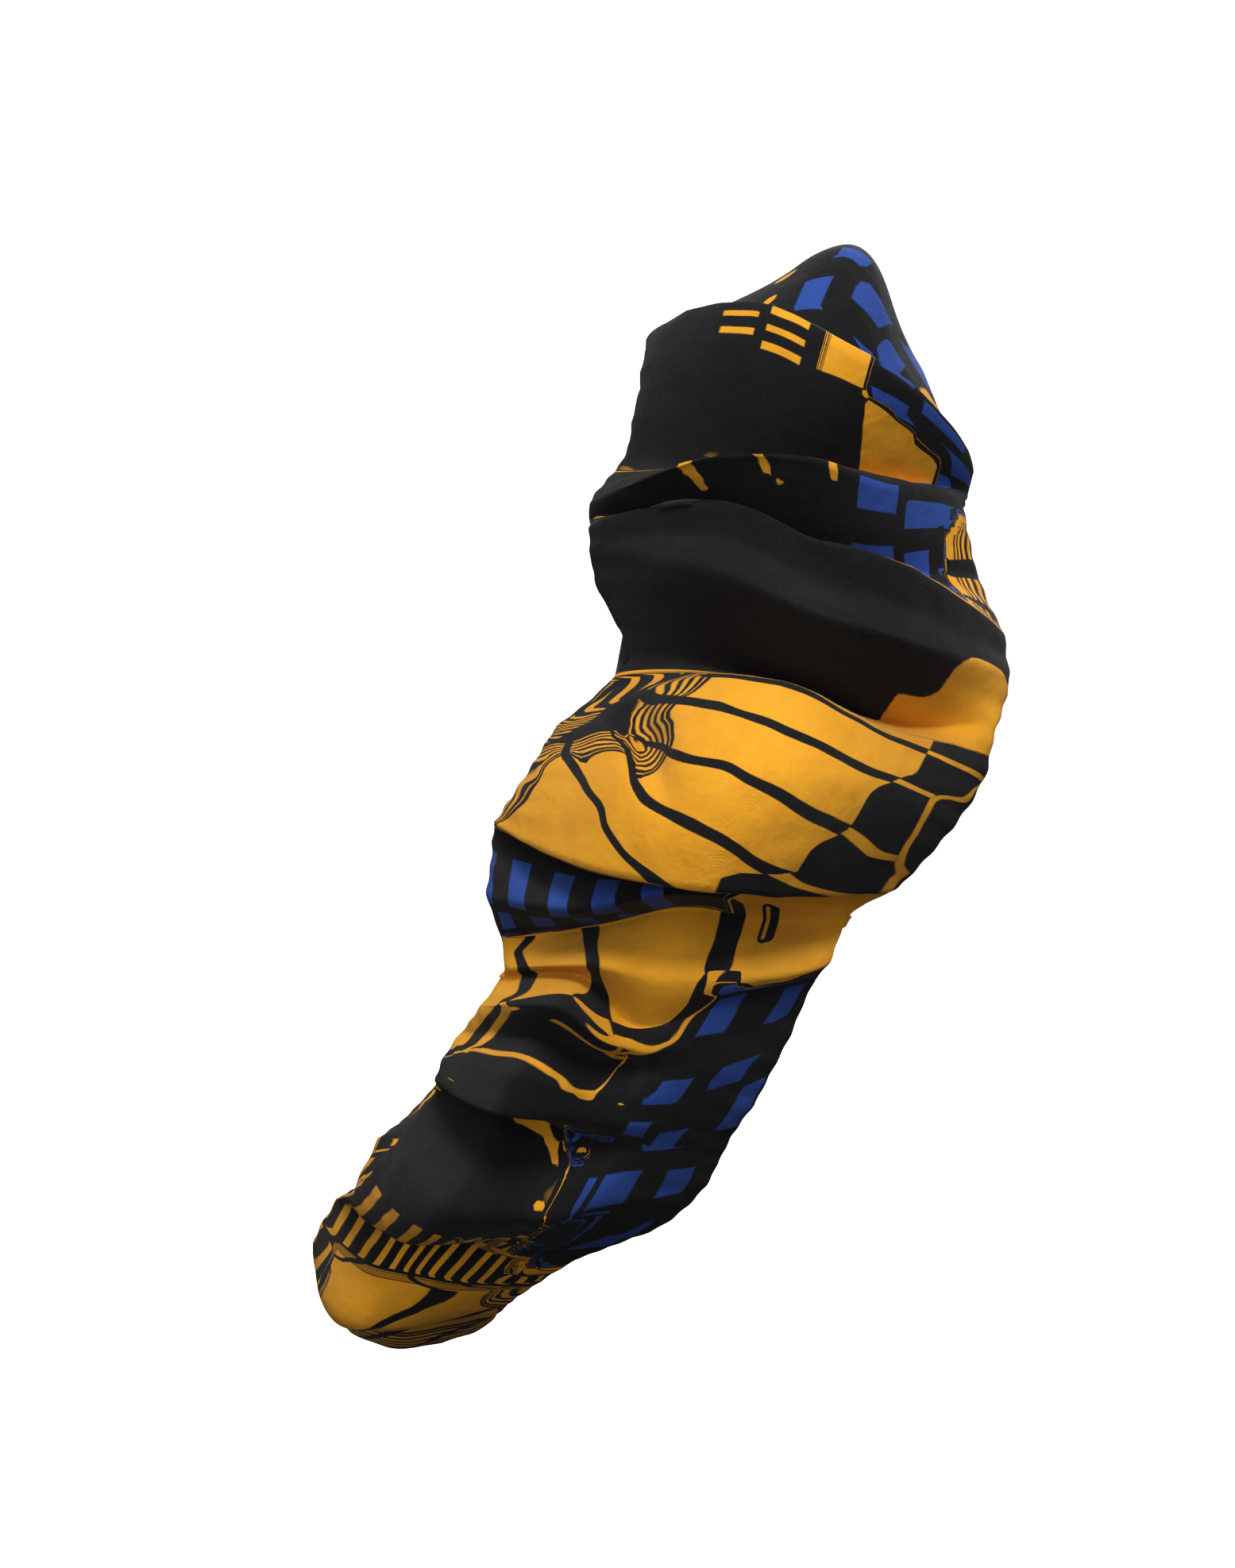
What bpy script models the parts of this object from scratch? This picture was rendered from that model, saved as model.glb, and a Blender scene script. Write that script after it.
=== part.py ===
"""Puff headband: a wide cotton print sleeve, gathered into deep puffs over an elastic inner band.

The band runs round a head from the top of the forehead, down both sides and under the nape. Every point of it is
told by three lengths in millimetres: along the band from the top centre, positive down the wearer's right side;
across the band, positive towards the face; and the height above the hair that the band lies on.
"""
import math
from collections import namedtuple

import bpy
import numpy as np

MM = 0.001

# The head opening, an oval that leans forward at the top
OPENING_LENGTH = 252.0
OPENING_WIDTH = 176.0
OPENING_LEAN = math.radians(68.0)
SIDE_BULGE = 22.0
HEAD_CURVE_RADIUS = 110.0

# The cloth
CLOTH_WALL = 1.2
TUCK_DEPTH = 9.0
TUCK_HEIGHT = 0.0
FOLDS_EVENED = 5
STEPS_ALONG = 3
STEPS_ACROSS = 2

# The inner band
BAND_WALL = 2.0
BAND_GAP = 0.4
BAND_HALF_TOP = 34.0
BAND_HALF_NAPE = 20.0
BAND_STATIONS = 72
BAND_STEPS_ACROSS = 4

Fold = namedtuple("Fold", "name back front along1 along2 along3 along4 along5 high1 high2 high3 high4 high5")

# A row for each fold line down the wearer's right side: where it starts at the back edge and ends at the face edge,
# then its place along the band and its height at five even steps between the two
NEAR_FOLDS = [
    Fold("peak shoulder", -43, 42, -37, -34, -32, -32, -35, 12, 30, 37, 29, 14),
    Fold("peak ridge", -42, 38, -20, -12, -8, -12, -22, 12, 31, 48, 34, 18),
    Fold("peak valley", -42, 42, 6, 12, 14, 12, 8, 8, 10, 14, 12, 10),
    Fold("crown rim", -42, 49, 22, 34, 42, 43, 36, 17, 39, 42, 38, 21),
    Fold("crown valley", -40, 49, 55, 58, 56, 48, 39, 8, 6, 6, 9, 15),
    Fold("tick rim", -46, 48, 75, 72, 70, 65, 50, 15, 33, 38, 29, 17),
    Fold("tick valley", -45, 48, 79, 81, 80, 74, 62, 13, 11, 8, 8, 9),
    Fold("grey rim", -45, 64, 83, 81, 87, 84, 83, 16, 32, 38, 39, 18),
    Fold("grey groove", -44, 66, 87, 88, 94, 92, 89, 15, 27, 34, 34, 17),
    Fold("grey brow", -42, 67, 91, 95, 102, 101, 95, 14, 29, 38, 36, 19),
    Fold("deep valley", -36, 66, 107, 108, 110, 111, 108, 8, 5, 5, 8, 22),
    Fold("bar shoulder", -42, 66, 140, 123, 117, 117, 119, 10, 18, 28, 28, 17),
    Fold("bar crest", -44, 62, 153, 144, 137, 133, 130, 15, 32, 41, 38, 14),
    Fold("bar crease", -47, 54, 171, 166, 162, 157, 147, 13, 28, 36, 30, 10),
    Fold("under flap", -38, 45, 191, 180, 166, 162, 156, 13, 20, 17, 10, 6),
    Fold("flap valley", -34, 44, 197, 182, 169, 165, 160, 9, 6, 5, 5, 8),
    Fold("window crest", -30, 44, 203, 188, 184, 177, 168, 9, 18, 20, 20, 10),
    Fold("window valley", -30, 42, 208, 193, 200, 188, 176, 7, 9, 6, 12, 8),
    Fold("line rim", -31, 42, 214, 198, 205, 195, 182, 11, 27, 20, 15, 8),
    Fold("line groove", -32, 42, 225, 210, 211, 202, 188, 9, 19, 15, 13, 8),
    Fold("line crest", -33, 42, 231, 216, 217, 208, 194, 12, 29, 22, 15, 8),
    Fold("knuckle crest", -32, 42, 239, 225, 224, 217, 206, 12, 33, 22, 14, 8),
    Fold("knuckle valley", -30, 41, 247, 234, 233, 226, 216, 7, 12, 9, 13, 7),
    Fold("cheek crest", -32, 42, 264, 252, 250, 241, 231, 13, 35, 30, 15, 7),
    Fold("cheek fall", -34, 38, 290, 274, 264, 257, 247, 13, 30, 22, 14, 7),
    Fold("cheek valley", -36, 25, 302, 289, 281, 277, 271, 10, 13, 12, 11, 6),
    Fold("nape crest", -36, 18, 313, 306, 303, 301, 298, 17, 33, 29, 20, 10),
    Fold("nape valley", -33, 18, 326, 324, 323, 322, 322, 12, 24, 21, 15, 8),
]

Dent = namedtuple("Dent", "name along across half_length half_width turn depth")

# Single hollows pressed into the folds, the turn in degrees from the way along the band
DENTS = [
    Dent("bar notch", 134, -17, 15, 5, 38, 7),
    Dent("grey pinch", 90, 12, 12, 6, 60, 4),
    Dent("cheek hollow", 252, 4, 12, 7, 20, 4),
    Dent("nape notch", 342, -20, 12, 4, 90, 4),
]

# The left side starts after the top folds, is worn a little further back, and its fewer folds stand differently
TOP_FOLDS = 4
NEAR_ONLY = ("tick valley", "tick rim", "line rim", "line groove")
FAR_SETBACK = 5.0
FAR_REACH = 46.0
FAR_SHIFT = 4.0
FAR_SHIFT_SPAN = 20.0
FAR_LIFT = 0.1


class Ring:
    """The closed line that the middle of the band follows on the hair, and the directions along and across it."""

    SAMPLES = 1440

    def __init__(self):
        self.up_slope = np.array([0.0, -math.cos(OPENING_LEAN), math.sin(OPENING_LEAN)])
        self.facewards = np.array([0.0, -math.sin(OPENING_LEAN), -math.cos(OPENING_LEAN)])
        self.right = np.array([-1.0, 0.0, 0.0])
        self.turn = np.linspace(0.0, 2 * math.pi, self.SAMPLES + 1)
        spans = np.linalg.norm(np.diff(self.line(self.turn), axis=0), axis=1)
        self.along = np.concatenate([[0.0], np.cumsum(spans)])
        self.length = self.along[-1]

    def line(self, turn):
        turn = np.asarray(turn, float)[..., None]
        return (
            OPENING_LENGTH / 2 * np.cos(turn) * self.up_slope
            + OPENING_WIDTH / 2 * np.sin(turn) * self.right
            + SIDE_BULGE * np.sin(turn) ** 2 * self.facewards
        )

    def place(self, along, across, height):
        """The points in millimetres that lie so far along, across and above the ring."""
        turn = np.interp(np.mod(along, self.length), self.along, self.turn)
        small = 1e-4
        tangent = self.line(turn + small) - self.line(turn - small)
        tangent /= np.linalg.norm(tangent, axis=-1, keepdims=True)
        column = turn[..., None]
        outward = (
            np.cos(column) / OPENING_LENGTH * self.up_slope
            + np.sin(column) / OPENING_WIDTH * self.right
        )
        outward -= (outward * tangent).sum(-1, keepdims=True) * tangent
        outward /= np.linalg.norm(outward, axis=-1, keepdims=True)
        sideways = np.cross(outward, tangent)
        rise = height - across**2 / (2 * HEAD_CURVE_RADIUS)
        return self.line(turn) + sideways * across[..., None] + outward * rise[..., None]


def smooth_through(padded, steps):
    """Centripetal Catmull-Rom curves from the second row of points to the last but one, each span cut into steps."""
    gaps = np.sqrt(np.linalg.norm(np.diff(padded, axis=0), axis=-1)) + 1e-6
    made = []
    for i in range(len(padded) - 3):
        p0, p1, p2, p3 = padded[i : i + 4]
        t1 = gaps[i][..., None]
        t2 = t1 + gaps[i + 1][..., None]
        t3 = t2 + gaps[i + 2][..., None]
        for k in range(steps):
            t = t1 + (t2 - t1) * k / steps
            a1 = (t1 - t) / t1 * p0 + t / t1 * p1
            a2 = (t2 - t) / (t2 - t1) * p1 + (t - t1) / (t2 - t1) * p2
            a3 = (t3 - t) / (t3 - t2) * p2 + (t - t2) / (t3 - t2) * p3
            b1 = (t2 - t) / t2 * a1 + t / t2 * a2
            b2 = (t3 - t) / (t3 - t1) * a2 + (t - t1) / (t3 - t1) * a3
            made.append((t2 - t) / (t2 - t1) * b1 + (t - t1) / (t2 - t1) * b2)
    return made


def smooth_round(lines, steps, length):
    """The lines joined smoothly one to the next, and the last to the first, right round the band."""
    turn = np.array([length, 0.0, 0.0])
    return np.array(smooth_through(np.concatenate([lines[-1:] - turn, lines, lines[:2] + turn]), steps))


def smooth_across(lines, steps):
    """Each line made smooth from its first point to its last."""
    points = lines.transpose(1, 0, 2)
    before = 2 * points[:1] - points[1:2]
    after = 2 * points[-1:] - points[-2:-1]
    made = smooth_through(np.concatenate([before, points, after]), steps)
    return np.array(made + [points[-1]]).transpose(1, 0, 2)


def fold_line(fold):
    """The five points of a fold line: along, across and height."""
    across = np.linspace(fold.back, fold.front, 5)
    return np.column_stack([fold[3:8], across, fold[8:13]])


def with_tucks(lines, length):
    """The lines with a point more at each end, where the cloth turns under its edge, evenly gathered along the band."""
    count = len(lines)
    turned = []
    for edge, inward in ((0, TUCK_DEPTH), (4, -TUCK_DEPTH)):
        rise = lines[:, edge, 0]
        three_rounds = np.concatenate([rise - length, rise, rise + length])
        evened = np.convolve(three_rounds, np.full(FOLDS_EVENED, 1 / FOLDS_EVENED), "same")
        under = lines[:, edge, 1] + inward
        tuck = np.column_stack([evened[count : 2 * count], under, np.full(count, TUCK_HEIGHT)])
        turned.append(tuck[:, None])
    return np.concatenate([turned[0], lines, turned[1]], axis=1)


def far_fold(fold, order, length):
    """The fold line's fellow on the wearer's left side."""
    setback = FAR_SETBACK * math.sin(2 * math.pi * fold.along3 / length)
    lift = 1.0 + FAR_LIFT * math.sin(2.3 * order)
    along = [length - value - FAR_SHIFT * math.sin(value / FAR_SHIFT_SPAN) for value in fold[3:8]]
    high = [value * lift for value in fold[8:13]]
    return Fold(fold.name, fold.back - setback, min(fold.front, FAR_REACH) - setback, *along, *high)


def all_folds(length):
    middle = [length / 2] * 5
    nape = Fold("nape ridge", -33, 18, *middle, 15, 33, 33, 25, 12)
    mirrored = [fold for fold in NEAR_FOLDS[TOP_FOLDS:] if fold.name not in NEAR_ONLY]
    far = [far_fold(fold, order, length) for order, fold in enumerate(mirrored)]
    return NEAR_FOLDS + [nape] + far[::-1]


def pressed(dense):
    """The points with the dents taken out of their heights."""
    high = dense[..., 2].copy()
    for dent in DENTS:
        turn = math.radians(dent.turn)
        along = dense[..., 0] - dent.along
        across = dense[..., 1] - dent.across
        lengthways = (along * math.cos(turn) + across * math.sin(turn)) / dent.half_length
        sideways = (across * math.cos(turn) - along * math.sin(turn)) / dent.half_width
        raised = np.clip(high / 20.0, 0.0, 1.0)
        high -= dent.depth * raised * np.exp(-(lengthways**2) - sideways**2)
    return np.concatenate([dense[..., :2], high[..., None]], axis=-1)


def sleeve_grid(ring, steps_along, steps_across):
    """World points in millimetres, a row for each station along the sleeve."""
    lines = with_tucks(np.array([fold_line(fold) for fold in all_folds(ring.length)]), ring.length)
    dense = pressed(smooth_across(smooth_round(lines, steps_along, ring.length), steps_across))
    return ring.place(dense[..., 0], dense[..., 1], dense[..., 2])


def band_grid(ring, stations, steps_across):
    along = np.linspace(0.0, ring.length, stations, endpoint=False)
    share = (1 - np.cos(2 * math.pi * along / ring.length)) / 2
    half = BAND_HALF_TOP + (BAND_HALF_NAPE - BAND_HALF_TOP) * share
    across = half[:, None] * np.linspace(-1.0, 1.0, steps_across + 1)[None, :]
    spread = np.broadcast_to(along[:, None], across.shape)
    return ring.place(spread, across, np.full(across.shape, -BAND_GAP))


def looped_sheet(name, grid, wall, material, collection):
    """An object whose open sheet joins end to end round the head and is thickened towards the head."""
    stations, across = grid.shape[:2]
    faces = []
    for i in range(stations):
        j = (i + 1) % stations
        for k in range(across - 1):
            faces.append((i * across + k, j * across + k, j * across + k + 1, i * across + k + 1))
    mesh = bpy.data.meshes.new(name)
    mesh.from_pydata((grid.reshape(-1, 3) * MM).tolist(), [], faces)
    mesh.materials.append(material)
    mesh.shade_smooth()
    sheet = bpy.data.objects.new(name, mesh)
    collection.objects.link(sheet)
    solid = sheet.modifiers.new("wall", "SOLIDIFY")
    solid.thickness = wall * MM
    solid.offset = -1.0
    return sheet


def cloth(name, colour, roughness):
    material = bpy.data.materials.new(name)
    material.use_nodes = True
    shader = material.node_tree.nodes["Principled BSDF"]
    shader.inputs["Base Color"].default_value = (*colour, 1.0)
    shader.inputs["Roughness"].default_value = roughness
    shader.inputs["Metallic"].default_value = 0.0
    return material


def main():
    for old in list(bpy.data.objects):
        bpy.data.objects.remove(old, do_unlink=True)
    parts = bpy.data.collections.new("puff_headband")
    bpy.context.scene.collection.children.link(parts)
    ring = Ring()
    print_cloth = cloth("print cotton", (0.72, 0.36, 0.04), 0.85)
    band_cloth = cloth("inner band cotton", (0.02, 0.02, 0.022), 0.9)
    looped_sheet("puff_sleeve", sleeve_grid(ring, STEPS_ALONG, STEPS_ACROSS), CLOTH_WALL, print_cloth, parts)
    looped_sheet("inner_band", band_grid(ring, BAND_STATIONS, BAND_STEPS_ACROSS), BAND_WALL, band_cloth, parts)


main()
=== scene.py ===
"""The puff headband, dressed: its gathered print sleeve, the ruched band inside it and their stitching.

Every point of the band is told by three lengths in millimetres. They are the length along the band from the
top centre, positive down the wearer's right side, the length across it, positive towards the face, and the
height above the hair that the band lies on. The folds are the same as in the part's source. Meshes are in
metres.
"""
import logging
import math
from dataclasses import dataclass, field
from enum import Enum
from typing import NamedTuple, Sequence

import bpy
import numpy as np
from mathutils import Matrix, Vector


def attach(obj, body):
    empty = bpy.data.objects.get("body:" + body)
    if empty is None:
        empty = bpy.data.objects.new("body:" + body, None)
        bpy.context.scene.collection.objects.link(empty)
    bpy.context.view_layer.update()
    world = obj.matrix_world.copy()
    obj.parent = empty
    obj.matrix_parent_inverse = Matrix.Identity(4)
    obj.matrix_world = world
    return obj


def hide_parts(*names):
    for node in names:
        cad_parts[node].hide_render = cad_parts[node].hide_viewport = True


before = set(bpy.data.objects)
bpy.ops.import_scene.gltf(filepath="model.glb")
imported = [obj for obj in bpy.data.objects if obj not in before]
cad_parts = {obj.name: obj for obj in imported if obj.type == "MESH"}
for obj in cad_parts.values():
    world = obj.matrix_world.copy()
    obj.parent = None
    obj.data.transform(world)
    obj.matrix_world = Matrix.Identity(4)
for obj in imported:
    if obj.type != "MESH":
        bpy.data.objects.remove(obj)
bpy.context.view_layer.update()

LOG = logging.getLogger("puff_headband")
MM = 0.001
UV_UNIT = 0.01

Socket = bpy.types.NodeSocket
Signal = Socket | float
Colour = tuple[float, float, float, float]
Given = Signal | Colour | str | bpy.types.Material
# A stop of the print: percent across the sleeve, millimetres round the roundel, millimetres from its middle
Stop = tuple[float, float, float]


class Fold(NamedTuple):
    """A fold line that runs across the band.

    It has a back and a face edge, a place along the band and a height at five even steps between them, and a
    sharpness, 0 where the cloth rolls over the line and 1 where it is creased along it.
    """

    name: str
    back: float
    front: float
    along1: float
    along2: float
    along3: float
    along4: float
    along5: float
    high1: float
    high2: float
    high3: float
    high4: float
    high5: float
    sharp: float


class Dent(NamedTuple):
    """A single hollow pressed into the folds, its turn in degrees from the way along the band."""

    name: str
    along: float
    across: float
    half_length: float
    half_width: float
    turn: float
    depth: float


class Grain(NamedTuple):
    """The scale of a noise in humps to the metre, how many finer layers lie on it and how strong they are."""

    scale: float
    detail: float = 2.0
    roughness: float = 0.5


class Lamp(NamedTuple):
    """A square soft light: its name, its spot and side in metres and its power in watts."""

    name: str
    spot: tuple[float, float, float]
    side: float
    power: float


class Thread(Enum):
    """The two ways that a row of stitches runs."""

    RUNNING = "running"
    ZIGZAG = "zigzag"


NEAR_FOLDS = [
    Fold("peak shoulder", -43, 42, -37, -34, -32, -32, -35, 12, 30, 37, 29, 14, 0.3),
    Fold("peak ridge", -42, 38, -20, -12, -8, -12, -22, 12, 31, 48, 34, 18, 0.6),
    Fold("peak valley", -42, 42, 6, 12, 14, 12, 8, 8, 10, 14, 12, 10, 0.4),
    Fold("crown rim", -42, 49, 22, 34, 42, 43, 36, 17, 39, 42, 38, 21, 0.85),
    Fold("crown valley", -40, 49, 55, 58, 56, 48, 39, 8, 6, 6, 9, 15, 0.2),
    Fold("tick rim", -46, 48, 75, 72, 70, 65, 50, 15, 33, 38, 29, 17, 0.9),
    Fold("tick valley", -45, 54, 78, 76, 80, 77, 66, 12, 12, 8, 8, 14, 0.8),
    Fold("grey rim", -45, 64, 83, 81, 86, 87, 83, 17, 33, 38, 38, 18, 0.6),
    Fold("grey groove", -44, 66, 88, 87, 93, 94, 89, 15, 28, 34, 34, 17, 0.5),
    Fold("grey brow", -42, 67, 91, 95, 102, 101, 95, 14, 29, 38, 36, 19, 0.8),
    Fold("deep valley", -28, 66, 113, 110, 111, 112, 107, 6, 4, 3, 7, 22, 0.7),
    Fold("bar shoulder", -41, 66, 137, 119, 116, 119, 119, 10, 20, 29, 28, 17, 0.4),
    Fold("bar crest", -44, 62, 153, 144, 137, 133, 130, 15, 32, 41, 38, 14, 0.1),
    Fold("bar edge", -47, 54, 167, 166, 162, 157, 147, 14, 30, 36, 30, 10, 0.9),
    Fold("flap tuck", -47, 52, 170, 168, 163, 157, 149, 9, 13, 15, 12, 6, 0.8),
    Fold("under flap", -42, 45, 186, 177, 165, 161, 156, 14, 23, 18, 10, 6, 0.2),
    Fold("flap valley", -34, 44, 197, 183, 169, 165, 160, 8, 4, 4, 5, 8, 0.8),
    Fold("window crest", -30, 44, 203, 189, 184, 177, 168, 9, 17, 17, 20, 15, 0.4),
    Fold("window valley", -30, 42, 208, 194, 199, 184, 173, 7, 10, 10, 15, 9, 0.5),
    Fold("line rim", -31, 42, 214, 198, 204, 194, 181, 12, 28, 17, 14, 8, 0.85),
    Fold("line groove", -32, 42, 225, 210, 211, 202, 188, 9, 19, 11, 14, 8, 0.5),
    Fold("line crest", -33, 42, 231, 216, 217, 209, 195, 13, 30, 16, 14, 8, 0.8),
    Fold("knuckle crest", -32, 42, 239, 225, 224, 218, 206, 12, 33, 17, 14, 8, 0.2),
    Fold("knuckle valley", -30, 41, 247, 234, 233, 226, 216, 6, 10, 8, 13, 7, 0.8),
    Fold("cheek crest", -32, 42, 262, 250, 249, 241, 231, 13, 36, 29, 15, 7, 0.2),
    Fold("cheek fall", -34, 38, 286, 269, 262, 257, 247, 13, 30, 22, 14, 7, 0.2),
    Fold("cheek valley", -36, 25, 302, 289, 281, 277, 271, 9, 11, 10, 10, 6, 0.8),
    Fold("nape crest", -36, 18, 313, 306, 303, 301, 298, 17, 33, 29, 20, 10, 0.3),
    Fold("nape valley", -33, 18, 326, 324, 323, 322, 322, 12, 24, 21, 15, 8, 0.4),
]

DENTS = [
    Dent("bar notch", 134, -17, 15, 4, 38, 9),
    Dent("grey pinch", 90, 12, 12, 6, 60, 4),
    Dent("line pit", 208, 8, 7, 5, 20, 7),
    Dent("cheek hollow", 252, 4, 12, 7, 20, 4),
    Dent("nape notch", 342, -20, 12, 4, 90, 4),
]

# The stops from the line between two puffs to the face edge, over the golden strip of the flap
FLAP_STRIP: tuple[Stop, ...] = (
    (66, 39.8, 97), (70, 41.7, 98), (73.5, 50, 103), (75, 58.3, 106), (76.4, 62.8, 108), (77.8, 60.5, 108),
    (79.5, 58.3, 108), (82, 54, 108), (100, 46, 112),
)


def ticks_behind(tick: float, gap: float, ring: float) -> tuple[Stop, ...]:
    """The back slope of the crown, from its far ticks to its fine rings.

    Args:
        tick: The turn along the far ticks.
        gap: The turn along the near ticks.
        ring: The turn along the fine rings.

    Returns:
        The stops of that slope.
    """
    places = (0, 19, 27, 30, 41.5, 42.5, 47, 47.6)
    turns = (tick, tick, tick, gap, gap, ring, ring, ring)
    radii = (198, 190, 181, 178, 168, 167, 166, 150)
    return tuple(zip(places, turns, radii))


def crown_front(turn: float) -> tuple[Stop, ...]:
    """The front slope of the crown, from its golden ring to its blocks, all at one turn."""
    return (61, turn, 74), (66, turn, 73), (75, turn, 61), (91, turn, 50), (100, turn, 46)


def ticks_along(back: float, face: float, reach: float = 100.0) -> tuple[Stop, ...]:
    """A line of ticks that runs straight across a puff.

    Args:
        back: The distance from the roundel's middle at the back edge.
        face: The distance that the line would have at the face edge.
        reach: How far across the line runs, in percent.

    Returns:
        The stops of the line.
    """
    places = (0, 10, 14, 25, 33, 40, 49, 60, 69, 80, 90, 100)
    turns = (0, 7, 11, 21, 28, 35, 46, 56, 64, 74, 84, 94)
    radii = (round(back + (face - back) * place / 100, 1) for place in places)
    return tuple(stop for stop in zip(places, turns, radii) if stop[0] <= reach)


def dash(middle: float, turn: float) -> tuple[Stop, ...]:
    """A short golden dash on a black rim, where the cloth dips to the thin ring and back."""
    across = ((-2.2, 74.7), (-0.8, 76.7), (0.8, 76.7), (2.2, 74.7))
    return tuple((middle + off, turn, radius) for off, radius in across)


def seam(percent: float) -> tuple[Stop, ...]:
    """The blank line between two puffs, from the black beside the thin ring to the middle of the roundel."""
    steps = ((0, 21.35, 74.7), (1.4, 86, 74.7), (2.9, 86, 74.7), (4.3, 86, 36.5))
    return tuple((percent + step, turn, radius) for step, turn, radius in steps)


def faded_seam(percent: float) -> tuple[Stop, ...]:
    """The same blank line with black beside a spoke running down to it."""
    return (percent - 3.5, 21.35, 110), (percent - 1.4, 21.35, 93.5), *seam(percent)


def blocks(
    outer: float, inner: float, outer_start: float, outer_end: float, inner_start: float, inner_end: float
) -> tuple[Stop, ...]:
    """The outer and the middle row of blue blocks, going towards the middle of the roundel.

    Args:
        outer: The turn along the outer row.
        inner: The turn along the middle row.
        outer_start: Where the outer row starts, in percent across the sleeve.
        outer_end: Where it ends.
        inner_start: Where the middle row starts.
        inner_end: Where it ends.

    Returns:
        The stops of both rows.
    """
    outer_row = (outer_start, outer, 73.5), (outer_end, outer, 61.5)
    inner_row = (inner_start, inner, 58.3), (inner_end, inner, 49.7)
    return outer_row + inner_row


def cheek_blocks(folds: float) -> tuple[Stop, ...]:
    """Two rows of blue blocks on the face side of the cheek, which run on from fold to fold.

    Args:
        folds: The number of folds from the first.

    Returns:
        The stops of both rows, up to the face edge.
    """
    outer = round(float(np.interp(folds, (17.35, 18.2, 20.9), (33, 39, 57.5))), 1)
    inner = round(float(np.interp(folds, (17.35, 18.35, 20.6, 22.1), (37.4, 45, 62, 79))), 1)
    moves = (71.5, 68), (78.5, 76.5), (88.5, 81.5), (94, 88.5)
    ends = (round(float(np.interp(folds, (18.2, 20.6), move)), 1) for move in moves)
    return *blocks(outer, inner, *ends), (100, inner, 46)


def rim_blocks(turn: float, end: float) -> tuple[Stop, ...]:
    """The jump from a black rim to the outer row of blue blocks, which ends at that percent."""
    return (64.8, 7, 74.7), (66, turn, 74.7), (67.2, turn, 73.4), (end, turn, 61.5)


def blocks_out(start: float, end: float, inner: float, outer: float) -> tuple[Stop, ...]:
    """The middle row of blue blocks from start to end, then the outer row up to the face edge.

    Args:
        start: Where the middle row starts, in percent across the sleeve.
        end: Where it ends.
        inner: The turn along the middle row.
        outer: The turn along the outer row.

    Returns:
        The stops of both rows.
    """
    return (start, inner, 49.7), (end, inner, 58.3), (84, outer, 61.5), (90, outer, 73.5), (100, outer, 74.7)


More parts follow.
